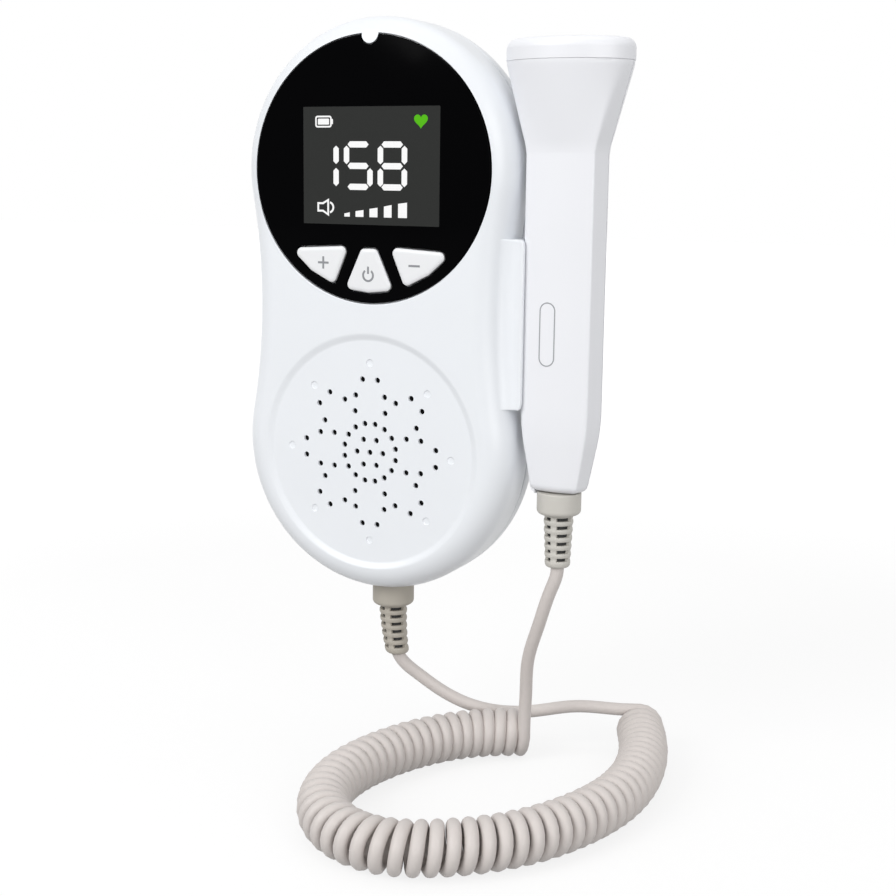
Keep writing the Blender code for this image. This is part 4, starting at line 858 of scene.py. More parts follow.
def housing_form(housing, side, inset, seam_gap, lip=0.0):
    """One half's form: its wall from the seam, then a round edge to the flat face. Side is -1 for the front."""
    face = -housing.depth if side < 0 else 0.0
    radius = (housing.front_round if side < 0 else housing.rear_round) - inset
    seam = -housing.depth / 2 + side * seam_gap
    edge = quarter_round(radius, radius, 14)
    insets = inset + edge[:, 0]
    depths = face - side * (inset + radius) + side * edge[:, 1]
    if lip:
        turn = np.linspace(0.0, math.pi / 2, 4)
        insets = np.concatenate([inset + lip * (1 - np.sin(turn)), insets])
        depths = np.concatenate([seam + side * lip * (1 - np.cos(turn)), depths])
    else:
        insets = np.concatenate([[inset], insets])
        depths = np.concatenate([[seam], depths])
    return facing([housing_outline(housing, value) for value in insets], depths)


def boot_hole(housing, cord):
    """Round opening at the seam for the unit's strain relief."""
    foot = -housing.spacing - housing.lower_radius
    radius = cord.neck_radius + housing.fit
    rise = housing.wall + housing.fit
    place_there = (0.0, -housing.depth / 2, foot)
    return turned([(radius, -rise), (radius, rise)], place_there, 32, axis="z")


def hole_places(speaker):
    """Places of the holes and of the dimples round the dish's centre, as (radius, angle) laid out on six rings."""
    first, second, third, fourth, fifth, last = speaker.rings
    eighths = np.arange(8) * 45.0
    pairs = [(eighths[:, None] + np.array([-spread, spread])).ravel() for spread in speaker.spreads]
    rings = [
        (0.0, np.zeros(1)),
        (first, np.arange(6) * 60.0 + 30),
        (second, np.arange(16) * 22.5 + 11.25),
        (third, eighths + 22.5),
        (fourth, pairs[0]),
        (fifth, pairs[1]),
    ]
    radius = np.concatenate([np.full(len(turn), ring) for ring, turn in rings])
    turn = np.radians(np.concatenate([turn for _, turn in rings]))
    holes = np.column_stack([radius * np.sin(turn), radius * np.cos(turn)])
    around = np.radians(eighths)
    return holes, last * np.column_stack([np.sin(around), np.cos(around)])


class DOPPLER_OT_front_cover(bpy.types.Operator):
    """Front half of the housing, with the window's seat, the speaker dish and its holes"""

    bl_idname = "doppler.front_cover"
    bl_label = "Front cover"

    def execute(self, context):
        settings = context.scene.doppler
        housing, window, speaker = settings.housing, settings.window, settings.speaker
        front = -housing.depth
        cover = shape("cover_front", housing_form(housing, -1, 0.0, housing.fit / 2, housing.lip))
        inner = solid("hollow", housing_form(housing, -1, housing.wall, -housing.wall))
        seat_depth = window.thickness + housing.fit
        radius = window.radius + housing.fit
        flare = quarter_round(housing.lip, housing.lip, 4)
        mouth = np.column_stack([radius + flare[:, 0], front + housing.lip - flare[:, 1]])
        over = [(radius + 2 * housing.lip, front - housing.lip)]
        seat = shape("seat", turned([(radius, front + seat_depth), *mouth, *over], (0, 0, 0), 192))
        tab = turned(
            [(window.notch, front - 3 * housing.lip), (window.notch, front + housing.wall)], (0, 0, window.radius), 48
        )
        carve(seat, "DIFFERENCE", solid("tab", tab))
        below = [
            plate(
                rectangle(window.pane_x, window.pane_z, window.pane_width / 2, window.pane_height / 2),
                front + housing.lip,
                front + housing.wall + housing.lip,
            )
        ]
        for kind in KINDS:
            outline = rounded(key_corners(settings.keys, kind), housing.fit, settings.keys.corner + housing.fit)
            below.append(plate(outline, front + housing.lip, front + housing.wall + housing.lip))

        dish_z = -housing.spacing - speaker.drop
        floor = front + speaker.dish_depth
        step = np.linspace(0.0, 1.0, 15)
        soft = step * step * (3 - 2 * step)
        rim = np.column_stack(
            [speaker.dish_radius + speaker.dish_rim * (step - 0.5), floor - speaker.dish_depth * soft]
        )
        lift = [(rim[-1, 0] + speaker.dish_rim, front - 0.12 * speaker.dish_rim)]
        dish = turned([*rim, *lift], (0, 0, dish_z), 192)

        holes, dimples = hole_places(speaker)
        lip = speaker.flare
        bore = [
            (speaker.hole, front + housing.wall + housing.lip),
            (speaker.hole, floor + lip),
            (speaker.hole + 0.3 * lip, floor + 0.3 * lip),
            (speaker.hole + lip, floor),
            (speaker.hole + lip, floor - lip),
        ]
        out, deep = np.array([(0.5, 1.0), (0.8, 0.9), (0.94, 0.5), (1.0, 0.0), (1.06, -0.4)]).T
        bowl = np.column_stack([speaker.dimple * out, floor + speaker.dimple_depth * deep])
        pocket = [(speaker.pocket, floor + speaker.grille), (speaker.pocket, front + housing.wall + housing.lip)]
        openings = [turned(bore, (x, 0, dish_z + z), 20) for x, z in holes]
        openings += [turned(bowl, (x, 0, dish_z + z), 20) for x, z in dimples]
        carve(
            cover,
            "DIFFERENCE",
            inner,
            seat.data,
            solid("below", *below),
            solid("dish", dish),
            solid("pocket", turned(pocket, (0, 0, dish_z), 96)),
            solid("openings", *openings),
            solid("boot_hole", boot_hole(housing, settings.cord)),
        )
        bpy.data.objects.remove(seat, do_unlink=True)
        dress(cover, "main_unit", housing_white(), ["front_cover"])

        near = floor + speaker.grille + housing.fit / 10
        disc = [(speaker.pocket - housing.fit, near), (speaker.pocket - housing.fit, near + speaker.cloth)]
        cloth = shape("grille_cloth", turned(disc, (0, 0, dish_z), 96))
        dress(cloth, "main_unit", woven_cloth("woven black polyester"))
        return {"FINISHED"}


def screw_places(housing, battery):
    """Places (x, z) of the four screws, on rays from the lobes' centres."""
    places = []
    for z, radius, degrees in ((0.0, housing.upper_radius, 30.0), (-housing.spacing, housing.lower_radius, -31.0)):
        turn = math.radians(degrees)
        reach = radius - battery.screw_inset
        places += [(side * reach * math.cos(turn), z + reach * math.sin(turn)) for side in (-1, 1)]
    return places


class DOPPLER_OT_rear_cover(bpy.types.Operator):
    """Rear half of the housing, with the door's opening and the screw wells"""

    bl_idname = "doppler.rear_cover"
    bl_label = "Rear cover"

    def execute(self, context):
        settings = context.scene.doppler
        housing, battery = settings.housing, settings.battery
        seam = -housing.depth / 2 + housing.fit / 2
        cover = shape("cover_rear", housing_form(housing, 1, 0.0, housing.fit / 2, housing.lip))
        inner = shape("hollow", housing_form(housing, 1, housing.wall, -housing.wall))
        places = screw_places(housing, battery)
        posts = [turned([(battery.post, seam), (battery.post, housing.fit)], (x, 0, z), 40) for x, z in places]
        carve(inner, "DIFFERENCE", solid("posts", *posts))
        seat = seam + battery.screw_floor
        head, shank = battery.screw_head + housing.fit, battery.screw_shank + housing.fit
        edge = quarter_round(housing.lip, housing.lip, 4)
        mouth = np.column_stack([head + edge[:, 0], edge[:, 1] - housing.lip])
        over = (head + 2 * housing.lip, housing.lip)
        well = [(shank, seam - housing.wall), (shank, seat), (head, seat), *mouth, over]
        wells = [turned(well, (x, 0, z), 40) for x, z in places]
        corners = rectangle(0, battery.door_z, battery.door_half_width, battery.door_half_height)
        growth = [housing.fit, *(housing.fit + edge[:, 0]), housing.fit + 2 * housing.lip]
        depths = [-2 * housing.wall, *(edge[:, 1] - housing.lip), housing.lip]
        opening = facing([rounded(corners, g, battery.door_corner + g) for g in growth], depths)
        carve(
            cover,
            "DIFFERENCE",
            inner.data,
            solid("wells", *wells),
            solid("opening", opening),
            solid("boot_hole", boot_hole(housing, settings.cord)),
        )
        bpy.data.objects.remove(inner, do_unlink=True)
        dress(cover, "main_unit", housing_white(), ["rear_cover"])
        return {"FINISHED"}


# Window, display and keys


def key_corners(keys, kind):
    """A key's corners, counter-clockwise. The feet lie on one circle round the window's centre."""
    if kind == "power":
        foot = -math.sqrt(keys.outer_radius**2 - keys.power_foot**2)
        return np.array(
            [
                (-keys.power_foot, foot),
                (0.0, -keys.outer_radius),
                (keys.power_foot, foot),
                (keys.power_top, keys.top_z),
                (-keys.power_top, keys.top_z),
            ]
        )
    outer = np.array([keys.side_foot, keys.side_middle, keys.side_outer])
    right = np.column_stack([outer, -np.sqrt(keys.outer_radius**2 - outer**2)])
    right = np.vstack([right, (keys.side_inner, keys.top_z + keys.side_rise)])
    return right if kind == "minus" else (right * (-1, 1))[::-1]


class DOPPLER_OT_window(bpy.types.Operator):
    """Round black window with its notch and key openings"""

    bl_idname = "doppler.window"
    bl_label = "Window"

    def execute(self, context):
        settings = context.scene.doppler
        housing, window, keys = settings.housing, settings.window, settings.keys
        front = -housing.depth
        edge = quarter_round(window.edge, window.edge, 5)
        rim = np.column_stack([window.radius - edge[:, 0], front + window.edge - edge[:, 1]])
        lens = shape("window_round", turned([(window.radius, front + window.thickness), *rim], (0, 0, 0), 192))
        notch = window.notch + housing.fit
        reach = front + window.thickness + window.edge
        bites = [turned([(notch, front - window.edge), (notch, reach)], (0, 0, window.radius), 48)]
        lip = quarter_round(0.6 * window.edge, 0.6 * window.edge, 3)
        for kind in KINDS:
            growth = [housing.fit, *(housing.fit + lip[:, 0]), housing.fit + 1.2 * window.edge]
            depths = [reach, *(front + 0.6 * window.edge - lip[:, 1]), front - 0.6 * window.edge]
            outlines = [rounded(key_corners(keys, kind), g, keys.corner + g) for g in growth]
            bites.append(facing(outlines, depths))
        carve(lens, "DIFFERENCE", solid("bites", *bites))
        finish = polished_acrylic("black-printed acrylic", settings.colours.window)
        dress(lens, "main_unit", finish, ["display_lens"])
        return {"FINISHED"}


def segment(letter, left, width=7.65, thickness=1.42):
    """A lit segment's six corners in millimetres: a bar with pointed ends."""
    half, tip = thickness / 2, 0.45 * thickness
    if letter in "agd":
        z = LEVEL_SEGMENTS[letter]
        near, far = left + 1.0, left + width - 1.1
        lower, upper = [(near + tip, z - half), (far - tip, z - half)], [(far - tip, z + half), (near + tip, z + half)]
        return [(near, z), *lower, (far, z), *upper]
    x = left + half if letter in "fe" else left + width - half
    low, high = UPPER_SEGMENT if letter in "fb" else LOWER_SEGMENT
    right, back = [(x + half, low + tip), (x + half, high - tip)], [(x - half, high - tip), (x - half, low + tip)]
    return [(x, low), *right, (x, high), *back]


def ring_band(centre, outer, inner, start, end, count=40):
    """A closed outline round a band: the outer arc, then the inner one back."""
    turn = np.linspace(start, end, count)[:, None]
    spokes = np.hstack([np.cos(turn), np.sin(turn)])
    return np.asarray(centre) + np.vstack([outer * spokes, inner * spokes[::-1]])


class DOPPLER_OT_display(bpy.types.Operator):
    """Display ground, three digits and the battery, speaker, volume and heart signs"""

    bl_idname = "doppler.display"
    bl_label = "Display"

    def execute(self, context):
        settings = context.scene.doppler
        housing, window, colours = settings.housing, settings.window, settings.colours
        front = -housing.depth
        film = window.film
        ground = rectangle(window.pane_x, window.pane_z, window.pane_width / 2, window.pane_height / 2)
        ground = rounded(ground, 0.0, PANE_CORNER, 4)
        pane = shape("display_ground", plate(ground, front - film, front + film))
        dress(pane, "main_unit", lit_display("display glass", colours.pane, 0.0))

        shapes = [segment(letter, left) for left, letters in DIGITS for letter in letters]
        for left, right, top_left, top_right in VOLUME_BARS:
            shapes.append([(left, VOLUME_FOOT), (right, VOLUME_FOOT), (right, top_right), (left, top_left)])
        shapes += [rounded(rectangle(*block[:4]), 0.0, block[4], 4) for block in BATTERY_BLOCKS]
        low, high = front - 2 * film, front - film / 2
        signs = [plate(np.array(shape) / 1000, low, high) for shape in shapes]
        signs.append(plate(ring_band(*SOUND_WAVE, 16) / 1000, low, high))
        x, z, width, height, corner = BATTERY_FRAME
        frames = (0.0, BATTERY_STROKE)
        battery = [rounded(rectangle(x, z, width - k, height - k), 0.0, corner - k, 6) for k in frames]
        horn = [np.array(HORN), np.array(HORN_INSIDE)]
        outlines = [
            np.concatenate([plate(outer / 1000, low, high), plate(inner / 1000, high, low)])
            for outer, inner in (battery, horn)
        ]
        lit = place("display_signs", joined("display_signs", solid("signs", *signs), hoops("outlines", *outlines)))
        dress(lit, "main_unit", lit_display("lit white", colours.digits, 1.0))

        turn = np.linspace(0.0, 2 * math.pi, 72, endpoint=False)
        rise = 13 * np.cos(turn) - 5 * np.cos(2 * turn) - 2 * np.cos(3 * turn) - np.cos(4 * turn)
        heart = np.column_stack([16 * np.sin(turn) ** 3, rise]) * HEART_SHARES + HEART_MIDDLE
        green = shape("display_heart", plate(heart / 1000, low, high))
        dress(green, "main_unit", lit_display("lit green", colours.heart, 1.0))
        return {"FINISHED"}


class DOPPLER_OT_keys(bpy.types.Operator):
    """Three pillowed keys and their printed signs"""

    bl_idname = "doppler.keys"
    bl_label = "Keys"

    def execute(self, context):
        settings = context.scene.doppler
        housing, keys, colours = settings.housing, settings.keys, settings.colours
        plastic = moulded("satin key plastic", colours.keys, 0.36, grain_mm=0.3)
        ink = moulded("grey pad-printed ink", colours.ink, 0.5, grain_mm=0.25)
        top = -housing.depth - keys.proud
        flange = -housing.depth + housing.wall + housing.fit
        shoulder = quarter_round(keys.pillow, keys.pillow_height, 8)
        growth = np.concatenate([[keys.flange, keys.flange, 0.0], -shoulder[:, 0]])
        depths = np.concatenate([[flange + keys.flange, flange, flange], top + keys.pillow_height - shoulder[:, 1]])
        half = keys.stroke / 2
        ring = ring_band((0, POWER_RING_Z), keys.ring, keys.ring - keys.stroke, *POWER_RING_TURN)
        signs = {
            "plus": [cross((-SIDE_SIGN_X, SIDE_SIGN_Z), keys.sign_arm, half)],
            "minus": [rectangle(SIDE_SIGN_X, SIDE_SIGN_Z, keys.sign_arm, half)],
            "power": [ring, rectangle(0, POWER_BAR_Z, half, POWER_BAR_HALF_HEIGHT)],
        }
        for kind in KINDS:
            outlines = [rounded(key_corners(keys, kind), g, keys.corner + g) for g in growth]
            cap = shape(f"key_cap_{kind}", facing(outlines, depths))
            dress(cap, f"key_{kind}", plastic, [f"button_{kind}"])
            printed = [plate(outline, top - half / 6, top + half / 4) for outline in signs[kind]]
            sign = shape(f"key_sign_{kind}", *printed)
            dress(sign, f"key_{kind}", ink)
        return {"FINISHED"}


def cross(centre, arm, half):
    """Corners of a plus sign, counter-clockwise."""
    quarter = np.array([(arm, -half), (arm, half), (half, half)])
    turns = [quarter @ np.array([(c, s), (-s, c)]) for c, s in ((1, 0), (0, 1), (-1, 0), (0, -1))]
    return np.asarray(centre) + np.vstack(turns)


# Battery door and screws


class DOPPLER_OT_battery_door(bpy.types.Operator):
    """Battery door with its finger grooves"""

    bl_idname = "doppler.battery_door"
    bl_label = "Battery door"

    def execute(self, context):
        settings = context.scene.doppler
        battery = settings.battery
        corners = rectangle(0, battery.door_z, battery.door_half_width, battery.door_half_height)
        edge = quarter_round(battery.door_edge, battery.door_edge, 5)
        growth = [0.0, *(-edge[:, 0])]
        depths = [-battery.door_thickness, *(edge[:, 1] - battery.door_edge)]
        door = shape("door_rear", facing([rounded(corners, g, battery.door_corner + g) for g in growth], depths))
        top = battery.door_z + battery.door_half_height - battery.groove_inset
        half = battery.groove_width / 2
        grooves = []
        for k in range(4):
            middle = rectangle(0, top - half - k * battery.groove_pitch, battery.groove_half, half)
            widen = np.array([-0.45, -0.2, 0.0, 0.15]) * half
            deep = np.array([-1.0, -0.8, 0.0, 0.4]) * battery.groove_depth
            grooves.append(facing([rounded(middle, g, 0.98 * half + g) for g in widen], deep))
        carve(door, "DIFFERENCE", solid("grooves", *grooves))
        dress(door, "door", housing_white(), ["battery_door"])
        return {"FINISHED"}


class DOPPLER_OT_screws(bpy.types.Operator):
    """Four case screws with cross recesses"""

    bl_idname = "doppler.screws"
    bl_label = "Case screws"

    def execute(self, context):
        settings = context.scene.doppler
        housing, battery = settings.housing, settings.battery
        seat = -housing.depth / 2 + housing.fit / 2 + battery.screw_floor + housing.fit
        end = -housing.depth / 2 - battery.screw_bite
        dome = quarter_round(battery.screw_head * 0.55, battery.screw_height * 0.7, 6)
        head = np.column_stack(
            [battery.screw_head - dome[:, 0], seat + battery.screw_height * 0.3 + dome[:, 1]]
        )
        tip = [(battery.screw_shank * 0.3, end), (battery.screw_shank, end + battery.screw_shank)]
        profile = [*tip, (battery.screw_shank, seat), (battery.screw_head, seat), *head]
        steel = plated_steel()
        top = seat + battery.screw_height
        for number, (x, z) in enumerate(screw_places(housing, battery), 1):
            screw = shape(f"screw_{number}", turned(profile, (x, 0, z), 36))
            arm, half = battery.screw_head * 0.55, battery.screw_head * 0.13
            slot = cross((x, z), arm, half)
            small = cross((x, z), arm * 0.6, half)
            deep = facing([small, slot], [top - battery.screw_height * 0.55, top + battery.screw_height * 0.1])
            carve(screw, "DIFFERENCE", solid("recess", deep))
            dress(screw, "main_unit", steel, [f"case_screw_{number}"])
        return {"FINISHED"}


class DOPPLER_OT_cells(bpy.types.Operator):
    """Two round cells in their printed sleeves, sized by their solids' boxes"""

    bl_idname = "doppler.cells"
    bl_label = "Cells"

    def execute(self, context):
        battery = context.scene.doppler.battery
        edge = quarter_round(battery.cell_edge, battery.cell_edge, 5)
        sleeve = printed_sleeve("printed cell sleeve")
        for side in ("left", "right"):
            low, high = np.array(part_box(f"battery_{side}"))
            middle, radius = (low + high) / 2, (high[0] - low[0]) / 2
            top = high[2] - battery.nub_height
            foot = np.column_stack([radius - edge[::-1, 0], low[2] + battery.cell_edge - edge[::-1, 1]])
            head = np.column_stack([radius - edge[:, 0], top - battery.cell_edge + edge[:, 1]])
            nub = [(battery.nub_radius, top), (battery.nub_radius, high[2])]
            profile = np.vstack([foot, head, nub])
            cell = shape(f"cell_{side}", turned(profile, (middle[0], middle[1], 0.0), 48, axis="z"))
            dress(cell, "main_unit", sleeve, [f"battery_{side}"])
        return {"FINISHED"}


def bright_steel(name):
    """Plated steel: pale grey metal, brushed lightly by handling, with streaks a fraction of a millimetre apart."""
    material, tree, shader, where = begin(name)
    stretched = add(tree, "Mapping", {"Vector": where, "Scale": (1.0, 0.1, 0.15)})
    streaks = add(tree, "TexNoise", {"Vector": stretched.outputs["Vector"], "Scale": 3000.0, "Detail": 3.0})
    rough = add(tree, "MapRange", {"Value": streaks.outputs["Fac"], "To Min": 0.22, "To Max": 0.42})
    bump = add(tree, "Bump", {"Height": streaks.outputs["Fac"], "Strength": 0.3, "Distance": 0.00001})
    look = {
        "Roughness": rough.outputs["Result"],
        "Normal": bump.outputs["Normal"],
        "Base Color": rgba(linear("#B9BBBE")),
        "Metallic": 1.0,
    }
    feed(tree, shader, look)
    return material


# Probe


def section(ovalness, steps=40):
    """The probe's closed section for each share of ovalness, about its own axis: the handle's crowned facets at 0,
    a plain ellipse at 1, and in between the straight mix of the two. The ellipse's points crowd towards its sides by
    the square, so that the side facets start there with no width."""
    knots = np.linspace(0.0, 1.0, len(SECTION_SHARES))
    dense = np.linspace(0.0, 1.0, steps + 1)
    shares = np.array(SECTION_SHARES)
    facets = smooth_table(knots, shares, dense, flat_end=(False, True))
    turn = dense**2 * math.pi / 2
    oval = np.column_stack([np.cos(turn), np.sin(turn)])
    quarter = facets + np.asarray(ovalness)[:, None, None] * (oval - facets)
    half = np.concatenate([quarter, (quarter * (-1, 1))[:, -2::-1]], axis=1)
    return np.concatenate([half, (half * (1, -1))[:, -2:0:-1]], axis=1)


def smooth_table(knots, values, at, flat_end=(False, False)):
    """A table read between its knots by cubic pieces whose slopes are the mean of their neighbours' slopes."""
    values = np.asarray(values, float)
    slopes = np.gradient(values, knots, axis=0)
    if flat_end[1] and values.ndim > 1:
        slopes[-1, 1] = 0.0
    span = np.clip(np.searchsorted(knots, at, side="right") - 1, 0, len(knots) - 2)
    step = (knots[1:] - knots[:-1])[span]
    t = (at - knots[span]) / step
    if values.ndim > 1:
        step, t = step[:, None], t[:, None]
    return (
        values[span] * (1 + 2 * t) * (1 - t) ** 2
        + slopes[span] * step * t * (1 - t) ** 2
        + values[span + 1] * t**2 * (3 - 2 * t)
        - slopes[span + 1] * step * t**2 * (1 - t)
    )


def probe_grid(probe, inset, lift=0.0, lip=0.0):
    """The probe's handle from the seam under its cap down to its rounded foot, drawn in by the inset. A lip gives
    the seam a rounded edge and the tongue that stands inside the cap."""
    run = np.linspace(0.0, 1.0, 33)
    gone = smooth_table(np.linspace(0, 1, len(CONE_SHARES)), CONE_SHARES, run)
    z = probe.seam_z + (probe.shoulder_z - probe.seam_z) * run
    width = probe.head_half_width + (probe.half_width - probe.head_half_width) * gone
    depth = probe.head_half_depth + (probe.half_depth - probe.head_half_depth) * gone
    rounding = probe.foot_round - inset / 2
    foot = quarter_round(rounding, rounding, 8)
    taper_top = np.linspace(probe.shoulder_z, probe.taper_z, 9)[1:-1]
    bend = np.linspace(0.0, 1.0, 8)
    slope_z = probe.taper_z + TAPER_BEND - bend * 2 * TAPER_BEND
    share = 0.5 * bend**2 * 2 * TAPER_BEND / (probe.taper_z - probe.foot_z)
    low = probe.foot_z + inset + rounding
    low_share = (probe.taper_z - low) / (probe.taper_z - probe.foot_z - rounding)
    z = np.concatenate([z, taper_top[:-1], slope_z, [low]])
    taper = np.concatenate([gone * 0.0, taper_top[:-1] * 0.0, share, [low_share]])
    width = np.concatenate([width, np.full(len(taper_top) - 1 + len(bend) + 1, probe.half_width)])
    depth = np.concatenate([depth, np.full(len(taper_top) - 1 + len(bend) + 1, probe.half_depth)])
    width = width - (probe.half_width - probe.foot_half_width) * taper - inset
    depth = depth - (probe.half_depth - probe.foot_half_depth) * taper - inset
    oval = np.concatenate([1 - gone, np.zeros(len(z) - len(gone))])
    z = np.concatenate([z, low - foot[1:, 1]])
    width = np.concatenate([width, width[-1] - foot[1:, 0]])
    depth = np.concatenate([depth, depth[-1] - foot[1:, 0]])
    oval = np.concatenate([oval, np.zeros(len(foot) - 1)])
    if lip:
        width[0] -= lip
        depth[0] -= lip
        z = np.insert(z, 1, z[0] - lip)
        width = np.insert(width, 1, width[1])
        depth = np.insert(depth, 1, depth[1])
        oval = np.insert(oval, 1, 1.0)
        z = np.concatenate([[z[0] + probe.tongue, z[0]], z])
        width, depth = (np.concatenate([[side[1] - probe.tongue] * 2, side]) for side in (width, depth))
        oval = np.concatenate([[1.0, 1.0], oval])
    if lift:
        z, width = np.insert(z, 0, z[0] + lift), np.insert(width, 0, width[0])
        depth, oval = np.insert(depth, 0, depth[0]), np.insert(oval, 0, oval[0])
    outlines = section(oval) * np.stack([width, depth], axis=-1)[:, None] + (probe.x, probe.y)
    return upright(outlines, z)


def box(low, high):
    """A box between two corners."""
    low, high = np.array(low), np.array(high)
    outline = rectangle(*((low + high) / 2)[:2], *((high - low) / 2)[:2])
    return upright([outline, outline], [low[2], high[2]])


class DOPPLER_OT_probe_shells(bpy.types.Operator):
    """Front and rear shell of the probe's handle"""

    bl_idname = "doppler.probe_shells"
    bl_label = "Probe shells"

    def execute(self, context):
        settings = context.scene.doppler
        probe, fit, cord = settings.probe, settings.housing.fit, settings.cord
        finish = probe_white()
        left = probe.x - probe.half_width
        lips = left + probe.lip
        slot_back = lips + probe.head_thickness + 2 * fit
        half_depth = probe.head / 2 + fit + probe.channel_wall + fit
        window = box(
            (left - OVERRUN - fit, probe.y - half_depth, probe.foot_z - OVERRUN - fit),
            (slot_back + probe.channel_wall + fit, probe.y + half_depth, probe.rail_top_z + probe.channel_top + fit),
        )
        hole = turned(
            [(cord.neck_radius + fit, probe.foot_z - OVERRUN), (cord.neck_radius + fit, probe.foot_z + 2 * probe.wall)],
            (probe.x, probe.y, 0),
            32,
            axis="z",
        )
        reach = probe.head_half_width + OVERRUN
        for half, side in (("front", -1), ("rear", 1)):
            shell = shape(f"probe_shell_{half}", probe_grid(probe, 0.0, lip=probe.seam_lip))
            near, far = sorted((probe.y + side * fit / 2, probe.y - side * reach))
            other = box((probe.x - reach, near, probe.foot_z - reach), (probe.x + reach, far, probe.seam_z + reach))
            carve(
                shell,
                "DIFFERENCE",
                solid("inside", probe_grid(probe, probe.wall, lift=2 * probe.tongue)),
                solid("other", other),
                solid("window", window),
                solid("hole", hole),
            )
            dress(shell, "probe", finish, [f"probe_{half}_shell"])
        return {"FINISHED"}


def cap_grid(probe, inset, foot):
    """The cap's form drawn in by the inset: the foot's (inset, height) rows, then an oval wall that rounds off to the
    face by a quarter circle."""
    radius = probe.cap_round - inset
    edge = quarter_round(radius, radius, 16)
    rows = np.vstack([foot, np.column_stack([inset + edge[:, 0], probe.top_z - probe.cap_round + edge[:, 1]])])
    sizes = np.stack([probe.head_half_width - rows[:, 0], probe.head_half_depth - rows[:, 0]], axis=-1)
    return upright(section(np.ones(len(rows))) * sizes[:, None] + (probe.x, probe.y), rows[:, 1])


class DOPPLER_OT_probe_mark(bpy.types.Operator):
    """Plain long outline printed on the handle's front"""

    bl_idname = "doppler.probe_mark"
    bl_label = "Printed outline"

    def execute(self, context):
        settings = context.scene.doppler
        probe, film = settings.probe, settings.window.film
        corners = rectangle(probe.mark_x, probe.mark_z, probe.mark_half_width, probe.mark_half_height)
        outer = rounded(corners, 0.0, probe.mark_half_width, 16)
        inner = rounded(corners, -probe.mark_stroke, probe.mark_half_width - probe.mark_stroke, 16)
        handle = section([0.0])[0] * (probe.half_width, probe.half_depth) + (probe.x, probe.y)
        front = handle[handle[:, 1] < probe.y]
        front = front[np.argsort(front[:, 0])]
        rows = []
        for outline, lift in ((outer, film), (inner, film), (inner, -film), (outer, -film)):
            depths = np.interp(outline[:, 0], front[:, 0], front[:, 1]) - lift
            rows.append(np.column_stack([outline[:, 0], depths, outline[:, 1]]))
        mark = place("probe_mark", hoops("probe_mark", np.array(rows)))
        dress(mark, "probe", moulded("grey printed line", settings.colours.mark, 0.5, grain_mm=0.25))
        return {"FINISHED"}


class DOPPLER_OT_probe_cap(bpy.types.Operator):
    """Oval cap that lies on the skin"""

    bl_idname = "doppler.probe_cap"
    bl_label = "Probe cap"

    def execute(self, context):
        settings = context.scene.doppler
        probe, fit = settings.probe, settings.housing.fit
        finish = moulded("moulded white ABS, cap", settings.colours.probe, 0.34)
        seam = probe.seam_z + fit / 10
        lip = probe.seam_lip
        cap = shape("probe_face", cap_grid(probe, 0.0, [(lip, seam), (0.0, seam + lip)]))
        play, deep = probe.tongue - fit / 2, probe.seam_z + probe.tongue + fit
        rebate = [(play, probe.seam_z), (play, deep), (probe.wall, deep)]
        carve(cap, "DIFFERENCE", solid("inside", cap_grid(probe, probe.wall, rebate)))
        dress(cap, "probe", finish, ["probe_cap"])
        return {"FINISHED"}


